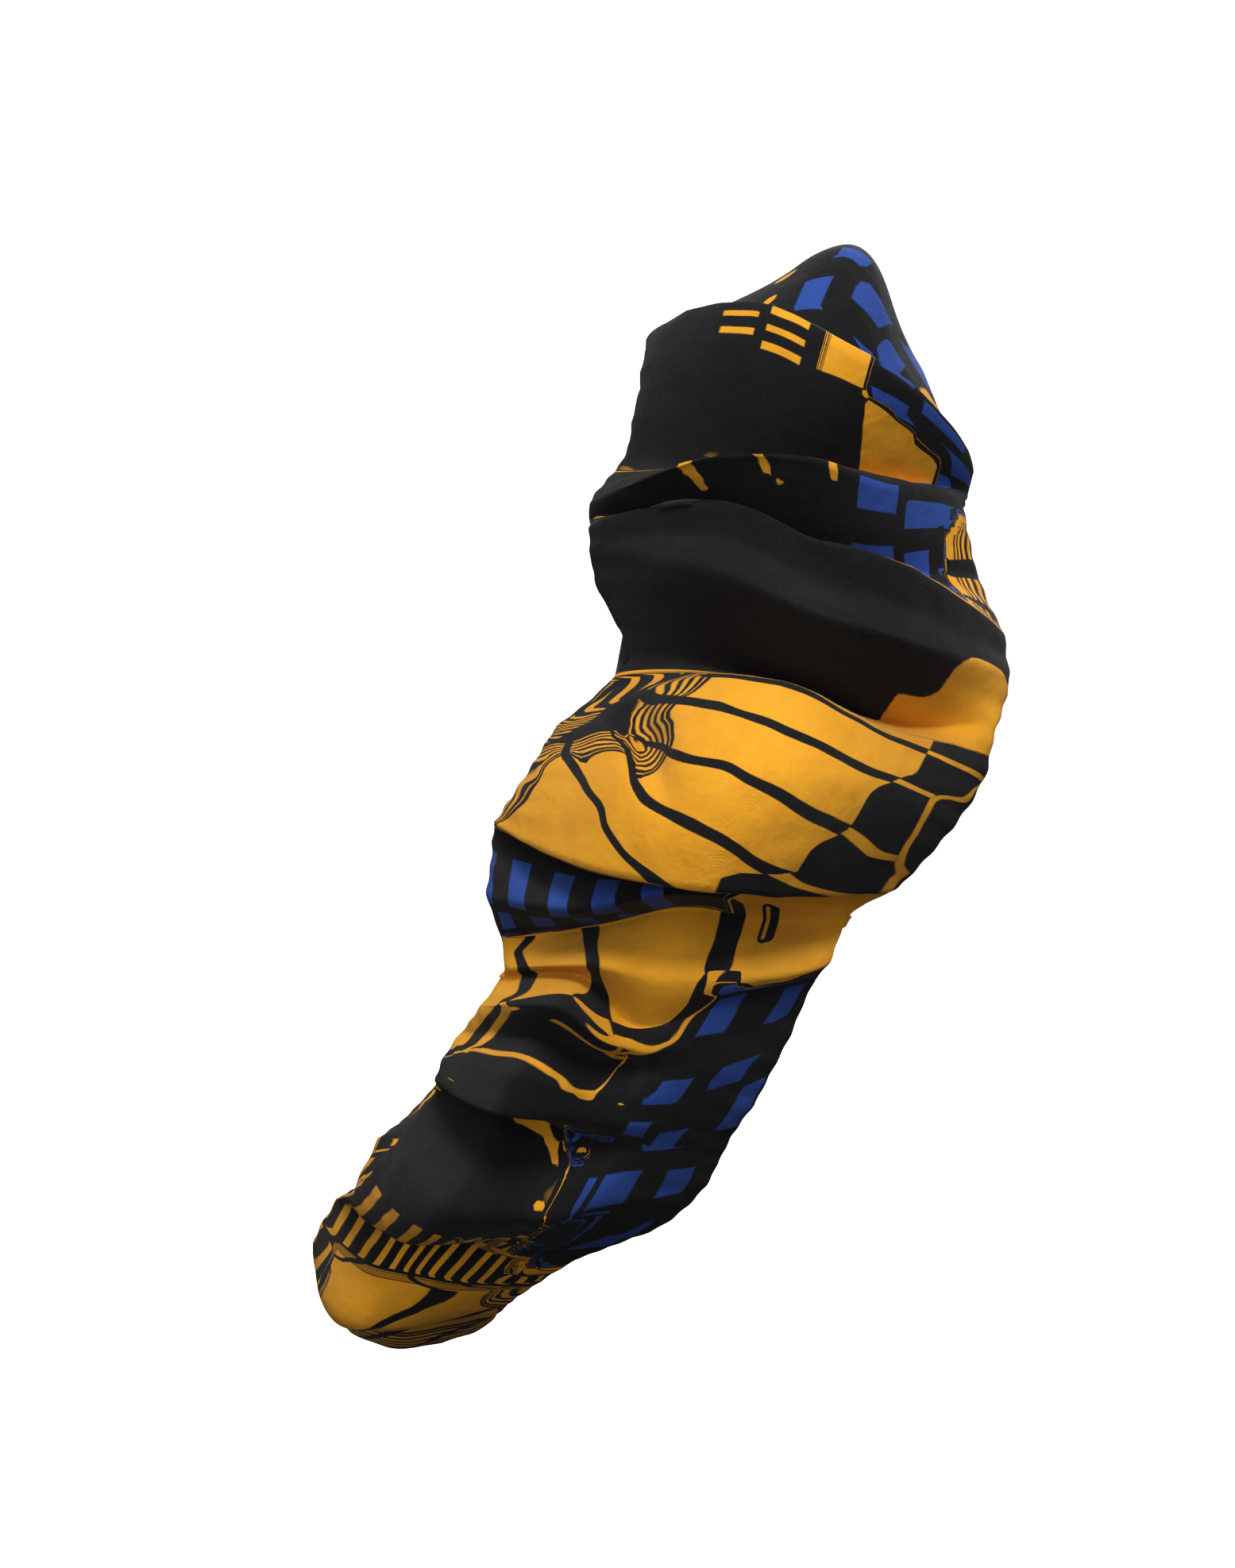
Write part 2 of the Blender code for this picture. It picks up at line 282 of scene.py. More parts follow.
# How the print lies on the cloth: the stops of each line across the sleeve, by its number of folds
PRINT_ROWS: dict[float, tuple[Stop, ...]] = {
    0: ((0, -30, 15), (25, -28, 28), (46, -26, 39), (57, -26, 45), (70, -26, 57), (100, -26, 80)),
    1.1: ((0, -3, 15), (25, -1, 28), (46, 2, 38.8), (57, 2, 45.2), (62, 2, 49), (70, 2, 56), (79, 2, 61.5),
        (88, 2, 73), (100, 2, 80)),
    1.31: ((0, 8, 15), (25, 10, 28), (39, 15, 38.8), (48, 15, 45.2), (56, 11, 49.7), (69, 11, 58.3),
        (72, 14, 61.5), (80, 14, 73.5), (100, 14, 80)),
    1.55: ((0, 18, 15), (25, 19, 28), (39, 20, 38.8), (47, 20, 45.2), (56, 20, 49.7), (65, 21, 58),
        (69, 22, 61.5), (79, 24, 73.5), (100, 24, 80)),
    1.8: ((0, 34, 15), (25, 34, 24), (50, 34, 30), (100, 34, 40)),
    1.9: (*ticks_behind(-25, -25, -25), (60, -25, 95), *crown_front(-25)),
    2.9: (*ticks_behind(0, 0, 0), (60, 0, 95), *crown_front(0)),
    3: (*ticks_behind(5, 5, 5), (60, 5, 95), *crown_front(5)),
    3.2: (*ticks_behind(17, 17, 17), (60, 17, 97), *crown_front(17)),
    3.25: (*ticks_behind(18.6, 20, 19.4), (60, 19.4, 97), *crown_front(20)),
    3.31: (*ticks_behind(18.6, 21.7, 20), (60, 20, 140), (62, 20.5, 97), (63, 25, 92), (63.6, 25, 75),
        (75, 25, 61), (88, 25, 58), (100, 25, 46)),
    3.35: (*ticks_behind(18.6, 21.7, 20), (60, 20, 150), (63, 21.7, 145), (68, 26, 120), (72, 25, 94),
        (72.6, 25, 75), (86, 25, 59), (100, 25, 47)),
    3.4: (*ticks_behind(18.6, 21.7, 20), (60, 20, 150), (63.2, 21.7, 145), (68, 28, 125), (78, 26, 94),
        (78.6, 25, 75), (89, 26, 58), (100, 27, 48)),
    3.6: (*ticks_behind(18.6, 21.7, 20), (61, 20, 150), (64.5, 21.7, 145), (70, 31, 130), (86, 31, 94),
        (86.6, 31, 75), (90, 30, 58.3), (100, 30, 49)),
    3.8: (*ticks_behind(20.2, 21.7, 20), (62, 20, 150), (66, 21.7, 145), (72, 34, 130), (86.5, 36, 94),
        (87.1, 37, 75), (92, 37, 60), (100, 37, 50)),
    3.95: ((0, 20.2, 130), (62, 20.2, 140), (66, 21.7, 140), (72, 34, 130), (86.5, 37, 94), (87.1, 37, 75),
        (100, 38, 52)),
    4.25: ((0, 21.35, 150), (62, 21.35, 150), (66, 23, 100), (72, 34, 120), (86, 38, 94), (86.6, 38, 75),
        (100, 38, 55)),
    4.3: ((0, 21.35, 74.7), *dash(20, 21.35), *dash(37, 21.35), *dash(57.5, 21.35), (64.8, 21.35, 74.7),
        (66, 45, 74.7), (67.2, 45, 73.4), (78, 45, 61.5), (91, 45, 49.5), (100, 45, 46)),
    4.5: ((0, 7, 74.7), *dash(20, 7), *dash(37, 7), *dash(57.5, 7), *rim_blocks(48, 78), (91, 48, 49.5),
        (100, 48, 46)),
    5: ((0, 7, 74.7), *dash(21.5, 7), *dash(39, 7), *dash(59.5, 7), *rim_blocks(53, 78), (91, 53, 49.7),
        (100, 53, 46)),
    5.12: ((0, 7, 74.7), *dash(22.5, 7), *dash(41.5, 7), *dash(60, 7), *rim_blocks(57.5, 78), (80, 57.5, 59),
        (93, 57.5, 49.7), (100, 57.5, 46)),
    5.17: ((0, 7, 74.7), *dash(23.2, 7), *dash(42.5, 7), *rim_blocks(58.3, 78), (80, 58.3, 58.3),
        (91, 58.3, 49.7), (95, 58, 49), (100, 58, 46)),
    5.3: ((0, 7, 74.7), *dash(24.8, 7), *dash(46, 7), *rim_blocks(62, 78), (80, 62, 58.3), (91, 62, 49.7),
        (93, 62, 48), (94, 66, 150), (100, 66, 166)),
    5.36: ((0, 7, 74.7), *dash(25.4, 7), *rim_blocks(63, 78), (80, 63, 58.3), (90, 63, 49.7), (92, 63, 48),
        (93, 66, 150), (100, 66, 166)),
    5.5: ((0, 7, 74.7), *dash(27, 7), *rim_blocks(68, 78), (90, 68, 47), (91, 68, 150), (100, 68, 166)),
    5.56: ((0, 7, 74.7), *rim_blocks(69.5, 78), (89.5, 70, 47), (90.5, 70, 150), (100, 70, 166)),
    5.98: ((0, 7, 74.7), *rim_blocks(82, 79), (89, 82, 47), (90, 80, 150), (100, 80, 166)),
    6.02: ((0, 0, 110), (64.5, 0, 110), (66, 82, 73.5), (79, 82, 61.5), (88.5, 82, 47), (89.5, 80, 150),
        (100, 80, 166)),
    6.9: ((0, 0, 110), (66, 0, 110), (68, 104, 73.5), (79, 104, 61.5), (87, 104, 47), (88, 104, 150),
        (100, 100, 166)),
    6.95: ((0, 0, 110), (86, 0, 110), (87, 0, 120), (88, 4, 150), (100, 4, 166)),
    7.05: ((0, 0, 110), (100, 0, 112)),
    8.72: ((0, 0, 110), (80, 0, 110), (87, 1.2, 110), (90, 1, 110), (100, 0, 112)),
    8.74: ((0, 0, 110), (100, 0, 112)),
    9: ((0, 0, 110), (82, 0, 110), (86, 1.8, 110), (90, 8, 110), (93, 8, 110), (96.5, 1.8, 110),
        (100, 0, 112)),
    9.41: ((0, 0, 110), (79, 0, 110), (82.5, 1.8, 110), (87, 8, 110), (100, 8, 114)),
    9.93: ((0, 0, 112), (66.5, 0, 112), (70, 1.8, 110), (75, 8, 110), (100, 8, 116)),
    10.2: ((0, 0, 120), (62, 0, 115), (65.5, 1.8, 112), (70, 7, 110), (100, 7, 118)),
    10.3: ((0, 40, 185), (20, 12, 168), (34, 3, 152), (60, 6, 128), (100, 8, 120)),
    10.54: ((0, 40, 185), (20, 14, 167), (33, -6, 153), (60, -6, 122), (83, 8, 100), (93, 8, 110),
        (100, 8, 118)),
    10.58: ((0, 40, 185), (20, 14, 167), (33, -8, 153), (60, -9, 122), (84, -9, 93), (90, -9, 88),
        (100, -9, 79)),
    10.8: ((0, 40, 182), (10, 28, 172), (19, 16, 165.3), (33.5, -3, 153), (60, -4.3, 122), (84, -4.3, 93),
        (90, -4.3, 87), (100, -4.3, 78.5)),
    11: ((0, 60, 178), (10, 36, 170), (16, 24, 166.5), (20, 19, 164), (33.5, 0, 153), (60, 0, 122),
        (84, 0, 93), (90, 0, 86), (100, 0, 78)),
    11.17: ((0, 85, 172), (9, 66, 168.5), (15, 38, 167), (18, 25, 165.5), (22, 20, 163.5), (31, 14, 154),
        (34, 12, 150), (47, 6.8, 135.4), (57, 5.9, 123.5), (60, 5.7, 120.1), (68, 5.3, 111), (84, 4.5, 93),
        (90, 4.5, 84.9), (100, 4.5, 76.1)),
    11.3: ((0, 90, 168), (7, 82, 167), (12, 72, 167), (16, 58, 167), (18.5, 30, 166), (21, 24, 162),
        (27.5, 21, 154), (31, 20, 150), (37, 17.5, 143), (47, 12, 134), (57, 10.4, 122), (68, 9.3, 110),
        (84, 8, 93), (90, 8, 84), (100, 8, 74.6)),
    11.42: ((0, 95, 163), (6, 88, 163), (9, 81, 165.5), (11, 77, 165), (15, 68, 166), (17.5, 58, 167),
        (19, 40, 167), (20, 31, 165), (23.5, 27, 158.5), (27.5, 25, 153), (31, 24, 150), (38, 21, 142),
        (47, 17.4, 134), (57, 14.8, 122), (68, 13.3, 110), (84, 11.6, 93), (90, 11, 82.2), (100, 11, 74.6)),
    11.53: ((0, 96, 160), (5, 89, 159), (8, 83, 157), (9.5, 80, 158), (12, 75, 160.5), (15, 69, 160),
        (18, 60, 162), (19.3, 50, 166.5), (21, 35, 164.5), (25, 32, 159), (30, 29, 153), (33, 28, 149),
        (38, 26, 143), (44, 23.6, 137.7), (47, 22.2, 134), (53, 20.2, 126.8), (57, 18.9, 121.9),
        (64, 17.7, 114.1), (68, 16.9, 109.7), (76, 15.8, 101.1), (81, 15.2, 95.8), (84, 14.8, 92.3),
        (89, 14, 82.3), (90.5, 13.8, 80.1), (93, 13.8, 78.5), (100, 13.8, 74.6)),
    11.62: ((0, 97, 158), (5, 90, 158), (8, 84, 154), (10, 80, 152), (13, 75, 157), (16, 69, 157),
        (20, 60, 160), (21.5, 50, 166), (23, 40, 165), (27, 36, 159), (31, 33, 153), (34, 32, 149),
        (38, 30, 144), (44, 27.5, 137.8), (47, 26, 134.2), (53, 23.4, 126.9), (57, 22.2, 121.8),
        (64, 20.7, 113.2), (68, 19.8, 108.7), (76, 18.1, 99.8), (81, 17.6, 94.7), (84, 17.2, 90.2),
        (89, 16.6, 80.3), (90.5, 16.4, 78.4), (93, 16.4, 76.9), (100, 16.4, 74.6)),
    11.72: ((0, 97, 157), (5, 90, 157), (8, 86, 152), (11, 81, 150), (14, 76, 154.5), (18, 69, 152.5),
        (21.5, 61, 156), (22.8, 56, 165), (24.5, 46, 165), (26.5, 42, 162), (29, 40, 158), (32, 36.5, 153),
        (35, 35, 149), (38, 34, 145), (44, 31.7, 138), (47, 30.1, 134.3), (53, 26.9, 127), (57, 25.8, 121.6),
        (64, 24, 112.3), (68, 22.9, 107.7), (76, 20.7, 98.4), (81, 20.2, 93.4), (84, 19.9, 87.9),
        (89, 19.4, 78.1), (90.5, 19.2, 76.6), (93, 19.2, 75.1), (100, 19.2, 74.6)),
    11.82: ((0, 97, 157), (5, 91, 156.5), (8, 88, 151), (12, 82, 149), (15, 77, 153), (18, 71, 149),
        (22, 63, 150), (23.5, 59, 158), (25, 55, 161.5), (28, 48, 158.5), (30.5, 43.5, 155), (32.5, 41, 152),
        (38, 37, 145), (44, 35.9, 138), (53, 30.6, 126.7), (64, 27.2, 111.7), (76, 23.7, 97.4),
        (78.3, 23.4, 94.9), (81, 23.1, 91.9), (89, 22.1, 77.4), (90.5, 21.7, 76), (93, 21.4, 74.6),
        (100, 21.4, 74.6)),
    11.92: ((0, 97, 157), (5, 93, 156), (8, 90, 151), (12, 85, 148), (15, 79.5, 149.5), (18, 74, 146),
        (23, 63.5, 149), (25, 59, 156), (28, 52, 156.5), (31, 46.5, 153), (33, 44.5, 150), (38, 41.5, 146),
        (44, 40.1, 138), (53, 34.4, 126.3), (64, 30.4, 111.3), (76, 26.9, 96.6), (78.3, 26.5, 93.9),
        (81, 26, 90.3), (89, 24.6, 77.4), (90.5, 24.1, 76), (93, 23.4, 74.6), (100, 23.4, 74.6)),
    12.08: ((0, 97, 157), (6, 96, 154), (10, 93, 149), (14, 87, 146), (17, 80.5, 146), (20, 74, 147),
        (25, 64, 150), (27, 60, 152.5), (29, 57, 151), (33, 52, 149), (38, 48.5, 145), (44, 46.7, 137.8),
        (52, 41.5, 127.2), (63, 36.3, 112.3), (76, 32.1, 96), (78.3, 31.5, 93.1), (89, 28.6, 77.6),
        (90.5, 28.1, 76.2), (93, 27.1, 74.6), (100, 26.9, 74.6)),
    12.3: ((0, 97, 158), (7, 97, 153), (12, 97, 147), (17, 88, 142), (24, 76.2, 147), (28, 67, 150),
        (32, 62, 150), (36, 59, 147), (41, 57, 141), (52, 51, 127), (63, 44.3, 112), (76, 39.1, 96),
        (78.5, 38.5, 93), (89, 34.2, 78), (93, 33, 74.6), (100, 32, 74.6)),
    12.55: ((0, 97, 160), (7, 97, 152), (12, 97, 146), (17, 96, 140), (26, 81, 142), (36, 69, 142),
        (41, 66, 137), (52, 61, 122), (63, 54.9, 107), (72, 50, 95), (73.3, 49.5, 93), (86, 41, 80),
        (90, 40, 77.6), (95, 38, 74.6), (100, 36, 74.6)),
    12.75: ((0, 97, 160), (7, 97, 150), (17, 97, 138), (26, 89, 136), (35, 78, 132), (45, 71, 121),
        (52, 68, 111), (63, 62, 101), (73.5, 58, 93), (86, 51, 81), (100, 45, 74.6)),
    12.82: ((0, 97, 160), (7, 97, 149), (17, 97, 137), (26, 92, 134), (35, 81, 128), (45, 74, 114),
        (57.5, 66, 93), (70, 61, 88), (86, 53, 80), (100, 47, 74.6)),
    13: ((0, 97, 158), (7, 97, 145), (17, 97, 135), (26, 97, 128), (35, 88, 120), (45, 80, 108),
        (58, 74.5, 93), (70, 68, 88), (86, 60, 80), (100, 55, 74.6)),
    13.4: ((0, 130, 158), (26, 108, 130), (50, 90, 110), (100, 64, 76)),
    13.6: ((0, -1, 75), (12, 20.5, 75), (33, 57.5, 75), (60, 95, 75), (62.5, 60, 75), (64.5, 43, 75),
        (66, 43, 95), (72, 50, 103), (100, 48, 112)),
    14.2: ((0, -1, 75), (12, 20.5, 75), (22, 39, 75), (33, 57.5, 75), (60, 90, 75), (62.5, 60, 75),
        (64.5, 43, 75), (66, 43, 95), (72, 50, 103), (100, 48, 112)),
    14.6: ((0, -1, 69), (12, 20.5, 69), (22, 39, 69), (33, 57.5, 69), (60, 90, 73), (62.5, 60, 75),
        (64.5, 43, 75), (66, 43, 95), (72, 50, 103), (100, 48, 112)),
    15.3: ((0, -1, 59.5), (12, 20.5, 59.5), (22, 39, 61), (33, 57.5, 64), (60, 90, 75), (62.5, 60, 75),
        (64, 43, 75), (65.2, 43, 95), *FLAP_STRIP),
    15.9: ((0, -1, 48), (12, 20.5, 48), (22, 39, 48), (33, 57.5, 55), (60, 90, 76), (62.5, 60, 75.2),
        (64, 43, 75.2), (65.2, 43, 95), *FLAP_STRIP),
    16: ((0, -12, 153), (10, -2, 150), (24, 20, 140), (27, 21.7, 135), (60, 37, 97), (61.5, 38.3, 97),
        *FLAP_STRIP),
    16.36: ((0, -11, 152.5), (9, 0, 147.5), (25, 20, 134), (29, 22.5, 130), (60, 36.4, 97), (61.7, 38.3, 97),
        *FLAP_STRIP),
    16.45: ((0, -10, 152), (8, 0, 146), (25.5, 20, 132), (30, 23, 126), (60, 36, 97), (62, 38.3, 97),
        (66, 39.8, 97), (70, 41.7, 98), (73.5, 50, 101), (75, 55, 102), (79.5, 56, 102), (82, 53, 102),
        (100, 46, 101)),
    16.8: ((0, -10, 151.6), (9, 0, 145), (26.8, 20, 130.5), (31.5, 23, 125), (60, 35.5, 97), (62.2, 38.3, 97),
        (66.5, 40, 97), (70.5, 41.7, 97), (74, 48, 98), (80, 53, 98), (100, 46, 97)),
    17.1: ((0, -10, 151), (10, 0, 144), (28, 20, 129), (33, 23, 124), (60, 35, 96), (62, 36, 93),
        (66, 40, 77.4), (67.2, 41, 76), (69, 42, 75), (73.5, 42, 75), (75, 43, 94), (80, 48, 95),
        (100, 46, 94)),
    17.35: ((0, -10, 151), (10.5, 0, 143), (29, 20, 128), (34, 23, 123), (60, 34, 96), (62, 35, 93),
        (66.5, 39, 77.4), (67.7, 39, 76), (69, 39, 75), (70, 39, 73), (76, 39, 65), (78.5, 43, 92.5),
        (88, 46, 92), (95, 50, 52), (100, 50, 46)),
    17.5: ((0, -10, 150), (11, 0, 142), (30, 20, 127), (35, 23, 122), (60, 34, 96), (62, 35, 93),
        *cheek_blocks(17.5)),
    17.9: ((0, -10, 149), (12.5, 0, 140), (32, 20, 125), (38, 22, 120), (50, 29, 101), (60, 33, 93),
        (66.5, 39, 77.4), *cheek_blocks(17.9)),
    18.25: ((0, -10, 147), (13.5, 0, 135), (33.5, 20, 115), (42, 22, 97), (45, 23, 93), (58, 30, 87),
        (65, 39, 77.4), (66.5, 39, 76), *cheek_blocks(18.25)),
    18.6: ((0, -10, 140), (14, 0, 120), (20, 8, 104), (24, 14, 97), (28, 19, 93), (34.5, 20, 90),
        (42, 20, 82), (46, 22, 77.4), (50, 25, 77.4), (60, 34, 79), (64.5, 39, 77.4), (66, 39, 76),
        *cheek_blocks(18.6)),
    18.9: ((0, -10, 130), (7, -4, 97), (10, 0, 92), (20, 8, 84), (30, 14, 79), (42, 15, 76.7), (60, 34, 76.7),
        (63, 39, 76), *cheek_blocks(18.9)),
    19.12: ((0, -10, 125), (7, -6, 95), (8.5, -4, 91), (12, 0, 77.4), (14, 1, 76.5), (18, 2, 79),
        (40, 10, 80), (60, 34, 75.4), *cheek_blocks(19.12)),
    19.4: ((0, -10, 120), (7, -6, 95), (8.5, -4, 91), (20, 5, 80), (28, 10, 76.7), (50, 22, 76.7),
        (54, 26, 75), *cheek_blocks(19.4)),
    19.55: ((0, -10, 118), (7, -6, 95), (8.5, -4, 91), (20, 5, 88), (50, 20, 88), (54, 22, 75),
        *cheek_blocks(19.55)),
    20.35: ((0, -10, 112), (6, -6, 95), (8, -4, 90), (13, 2, 78), (30, 10, 79.5), (50, 14, 85),
        (53, 14, 74.8), *cheek_blocks(20.35)),
    20.5: ((0, -10, 108), (5, -6, 95), (7, -4, 90), (10, 2, 76.7), (20, 6, 76.7), (33, 10, 78.2),
        (50, 14, 82), (53, 14, 74.8), *cheek_blocks(20.5)),
    20.66: ((0, -10, 100), (4, -6, 95), (5.5, -4, 80), (9, 2, 75.5), (20, 6, 75.2), (30, 10, 76),
        (36, 11, 77), (50, 14, 79.5), (53, 14, 74.8), *cheek_blocks(20.66)),
    21: ((0, -8, 90), (3, -6, 77), (5, 2, 74.7), (36, 10, 74.7), (42, 12, 76.4), (50, 14, 76.9),
        (52.5, 14, 74.7), *blocks(59, 66, 67, 76, 82, 88), (100, 66, 46)),
    21.17: ((0, 8, 74.7), (44, 12, 74.7), (47, 12, 76.4), (50, 14, 76.9), (52.5, 14, 74.7), (65, 61, 74.7),
        *blocks(61, 68, 66, 75.5, 81, 88), (90, 74, 45.2), (97, 74, 38.8), (100, 74, 35)),
    21.25: ((0, 8, 74.7), (48, 12, 74.7), (51, 14, 74.7), (57.5, 14, 74.7), (60, 14, 77), (62.5, 30, 74.7),
        (65, 63, 74.7), (66, 63, 73.5), (75.5, 63, 61.5), (81, 69, 58.3), (88, 70, 49.7), (90, 76, 45.2),
        (97, 76, 38.8), (100, 76, 35)),
    21.35: ((0, 8, 74.7), (60, 14, 74.7), (64, 63, 74.7), (65.5, 65, 73.5), (74, 66, 61.5), (79, 68, 58.3),
        (86, 68, 49.7), (90, 76, 45.2), (97, 76, 38.8), (100, 76, 35)),
    21.53: ((0, 8, 74.7), (60, 14, 74.7), (64, 63, 74.7), *blocks(68, 68, 65, 72, 77, 83), (90, 76.5, 45.2),
        (97, 76.5, 38.8), (100, 77, 36)),
    21.6: ((0, 8, 74.7), (7, 8, 74.7), (9, 8, 77), (11, 8, 74.7), (60, 14, 74.7), (64, 63, 74.7),
        *blocks(69, 69, 65, 72, 76, 83), (90, 76.5, 45.2), (97, 76.5, 38.8), (100, 77, 36)),
    21.67: ((0, 8, 74.7), (60, 14, 74.7), (64, 63, 74.7), *blocks(70, 70, 65, 72, 76, 83), (90, 76.6, 45.2),
        (97, 76.6, 38.8), (100, 77, 36)),
    21.95: ((0, 8, 74.7), (60, 24, 74.7), (64, 70, 74.7), *blocks(75, 73, 65, 71.5, 76, 83), (90, 77.5, 45.2),
        (97, 77.5, 38.8), (100, 78, 36)),
    22.5: ((0, 8, 74.7), (60, 30, 74.7), (64, 80, 74.7), *blocks(82, 77.5, 65, 71.5, 76, 82), (90, 80, 45.2),
        (97, 80, 38.8), (100, 80, 36)),
    22.6: ((0, 20.4, 130), (45, 20.4, 130), (47, 21.35, 93.5), (48.4, 21.35, 74.7), (60, 30, 74.7),
        (64, 84, 74.7), *blocks(84, 79, 65, 71.5, 76, 82), (90, 81, 45.2), (97, 81, 38.8), (100, 81, 36)),
    22.93: ((0, 20.4, 130), (41, 20.4, 130), (43, 21.35, 110), (45, 21.35, 93.5), (46.4, 21.35, 74.7),
        (47.8, 52, 74.7), (49.2, 52, 47), (50.6, 48, 45), (53, 48, 38), (60, 86, 36), (65, 86, 44),
        (71.5, 86, 49), (76, 81, 58.3), (82, 81, 49.7), (90, 84, 45.2), (97, 84, 38.8), (100, 84, 36)),
    23.03: ((0, 20.4, 130), (24, 20.4, 130), (27, 23, 130), (40, 23, 130), (42.8, 20.4, 130),
        (44.5, 21.35, 110), (46, 21.35, 93.5), (47.4, 21.35, 74.7), (48.8, 52, 74.7), (50.2, 52, 47),
        (51.6, 48, 44), (53, 46, 37), (54.5, 30, 36), (60, 84, 36), (66, 84, 46), (70, 86, 49.7),
        (78, 86, 58.3), (84, 86, 60), (100, 86, 60)),
    23.1: ((0, 20.4, 130), (27, 20.4, 130), (30, 23, 130), (42.5, 23, 130), (45.3, 20.4, 130),
        (47.5, 21.35, 100), (48.8, 21.35, 74.7), (50.2, 44, 45), (52.5, 40, 36), (54, 28, 33),
        (55.2, 28, 31.5), (57, 28, 30), (60, 84, 36.5), (66, 84, 46), *blocks_out(68, 78, 86, 86)),
    23.17: ((0, 20.4, 130), (41, 20.4, 130), (44, 23, 130), (46, 23, 130), (49, 20.4, 130), (50, 21.35, 100),
        (51.4, 21.35, 74.7), (52.8, 30, 34), (54, 28, 31.5), (56, 28, 31.5), (57.5, 30, 30), (60, 85, 36.8),
        (66, 85, 46), *blocks_out(67, 78, 88, 86)),
    23.24: ((0, 20.4, 130), (44, 20.4, 130), (47, 23, 130), (50, 20.4, 130), (51.5, 21.35, 100),
        (52.9, 21.35, 74.7), (54.5, 35, 35), (57.5, 60, 33), (60, 86, 37), (66, 86, 46),
        *blocks_out(67, 78, 90, 87)),
    23.31: ((0, 20.4, 130), (46, 20.4, 130), (49, 23, 130), (52, 20.4, 130), (53, 21.35, 100), *seam(54.4),
        (60.4, 86, 36.5), (65, 88.5, 45.2), *blocks_out(67, 77.5, 91, 88)),
    23.38: ((0, 20.4, 130), (49, 20.4, 130), *faded_seam(54.5), (60.5, 89.5, 36.5), (65, 89.8, 45.2),
        *blocks_out(67, 77.5, 92, 89)),
    23.73: ((0, 20.4, 130), (49, 20.4, 130), *faded_seam(55.2), (61.2, 92, 36.5), (65, 92.3, 45.2),
        *blocks_out(67, 77.5, 96, 94.5)),
    23.8: ((0, 20.4, 130), (49.5, 20.4, 130), (51, 23.4, 130), (52, 23.4, 130), (53.5, 21.35, 100), *seam(55),
        (61, 93, 36.5), (65, 93, 45.2), *blocks_out(67, 77.5, 97, 95.4)),
    23.87: ((0, 20.4, 130), (49, 20.4, 130), *faded_seam(55.5), (61.5, 94, 36.5), (65, 94, 45.2),
        *blocks_out(67, 77.5, 98, 96.4)),
    24.1: ((0, 20.4, 130), (50, 20.4, 130), *faded_seam(57.2), (63.2, 95, 36.5), (65, 95.3, 45.2),
        *blocks_out(67, 77.5, 101, 100.6)),
    24.33: ((0, 20.4, 130), (55, 20.4, 130), *faded_seam(60), (66, 70, 36.5), (80, 106, 48), (83, 106, 49.7),
        (90, 106, 58.3), (100, 106, 60)),
    24.4: ((0, 20.4, 179.5), (33, 20.4, 179.5), (36, 20.4, 130), (55, 20.4, 130), *faded_seam(60),
        (66, 70, 36.5), (80, 107, 48), (83, 107, 49.7), (90, 107, 58.3), (100, 107, 60)),
    24.47: (*ticks_along(179.5, 179.5, 33), (34.7, 20.4, 179.5), (37, 20.4, 130), (55, 20.4, 130),
        *faded_seam(60), (66, 70, 36.5), (80, 107, 48), (83, 107, 49.7), (90, 107, 58.3), (100, 107, 60)),
    24.55: (*ticks_along(177, 175.5, 33), (35, 30, 176.5), (36.4, 30, 179.5), (37.8, 20.4, 160),
        (39.2, 20.4, 130), (55.2, 20.4, 130), *faded_seam(60.2), (66.2, 70, 36.5), (80, 107, 48),
        (83, 107, 49.7), (90, 108, 58.3), (100, 108, 60)),
    24.9: (*ticks_along(176.5, 175, 40), (42, 37.4, 175.9), (43.4, 37.4, 179.5), (44.8, 20.4, 160),
        (46.2, 20.4, 130), (56, 20.4, 130), *faded_seam(61), (67, 70, 36.5), (80, 106, 48), (83, 106, 49.7),
        (90, 111, 58.3), (100, 111, 60)),
    25: (*ticks_along(176.4, 175, 40), (46, 42.3, 175.8), (47.4, 42.3, 179.5), (48.8, 20.4, 160),
        (50.2, 20.4, 130), (56.5, 20.4, 130), (58, 23.4, 130), (59.2, 23.4, 130), (60.7, 21.35, 100),
        *seam(62), (68, 70, 36.5), (80, 109, 48), (83, 109, 49.7), (90, 112, 58.3), (100, 112, 60)),
    25.07: (*ticks_along(176.3, 175, 40), (48, 44.8, 175.7), (49.4, 44.8, 179.5), (50.8, 20.4, 160),
        (52.2, 20.4, 130), (56.5, 20.4, 130), (58, 23.4, 130), (59.2, 23.4, 130), (60.7, 21.35, 100),
        *seam(62), (68, 70, 36.5), (80, 110, 48), (83, 110, 49.7), (90, 112, 58.3), (100, 112, 60)),
    25.13: (*ticks_along(176.2, 174.8, 40), (50, 46.9, 175.5), (51.4, 46.9, 179.5), (52.8, 20.4, 160),
        (54.2, 20.4, 130), (57.5, 20.4, 130), *faded_seam(62.5), (68.5, 70, 36.5), (80, 111, 48),
        (83, 111, 49.7), (90, 113, 58.3), (100, 113, 60)),
    25.4: (*ticks_along(176, 174, 49), (56, 52.4, 174.9), (57.4, 52.4, 179.5), (58.8, 20.4, 160),
        (61, 20.4, 130), *faded_seam(66), (72, 80, 36.5), (80, 114, 48), (90, 116, 58), (100, 116, 60)),
    25.8: (*ticks_along(175.5, 173, 60), (61.4, 56, 179.5), (62.8, 20.4, 160), (65, 20.4, 130),
        *faded_seam(70), (76, 82, 36.5), (80, 118, 42), (90, 121, 50), (100, 122, 58)),
    26: (*ticks_along(175, 172, 69), (76, 70.4, 172.7), (77.4, 70.4, 179.5), (78.8, 20.4, 160),
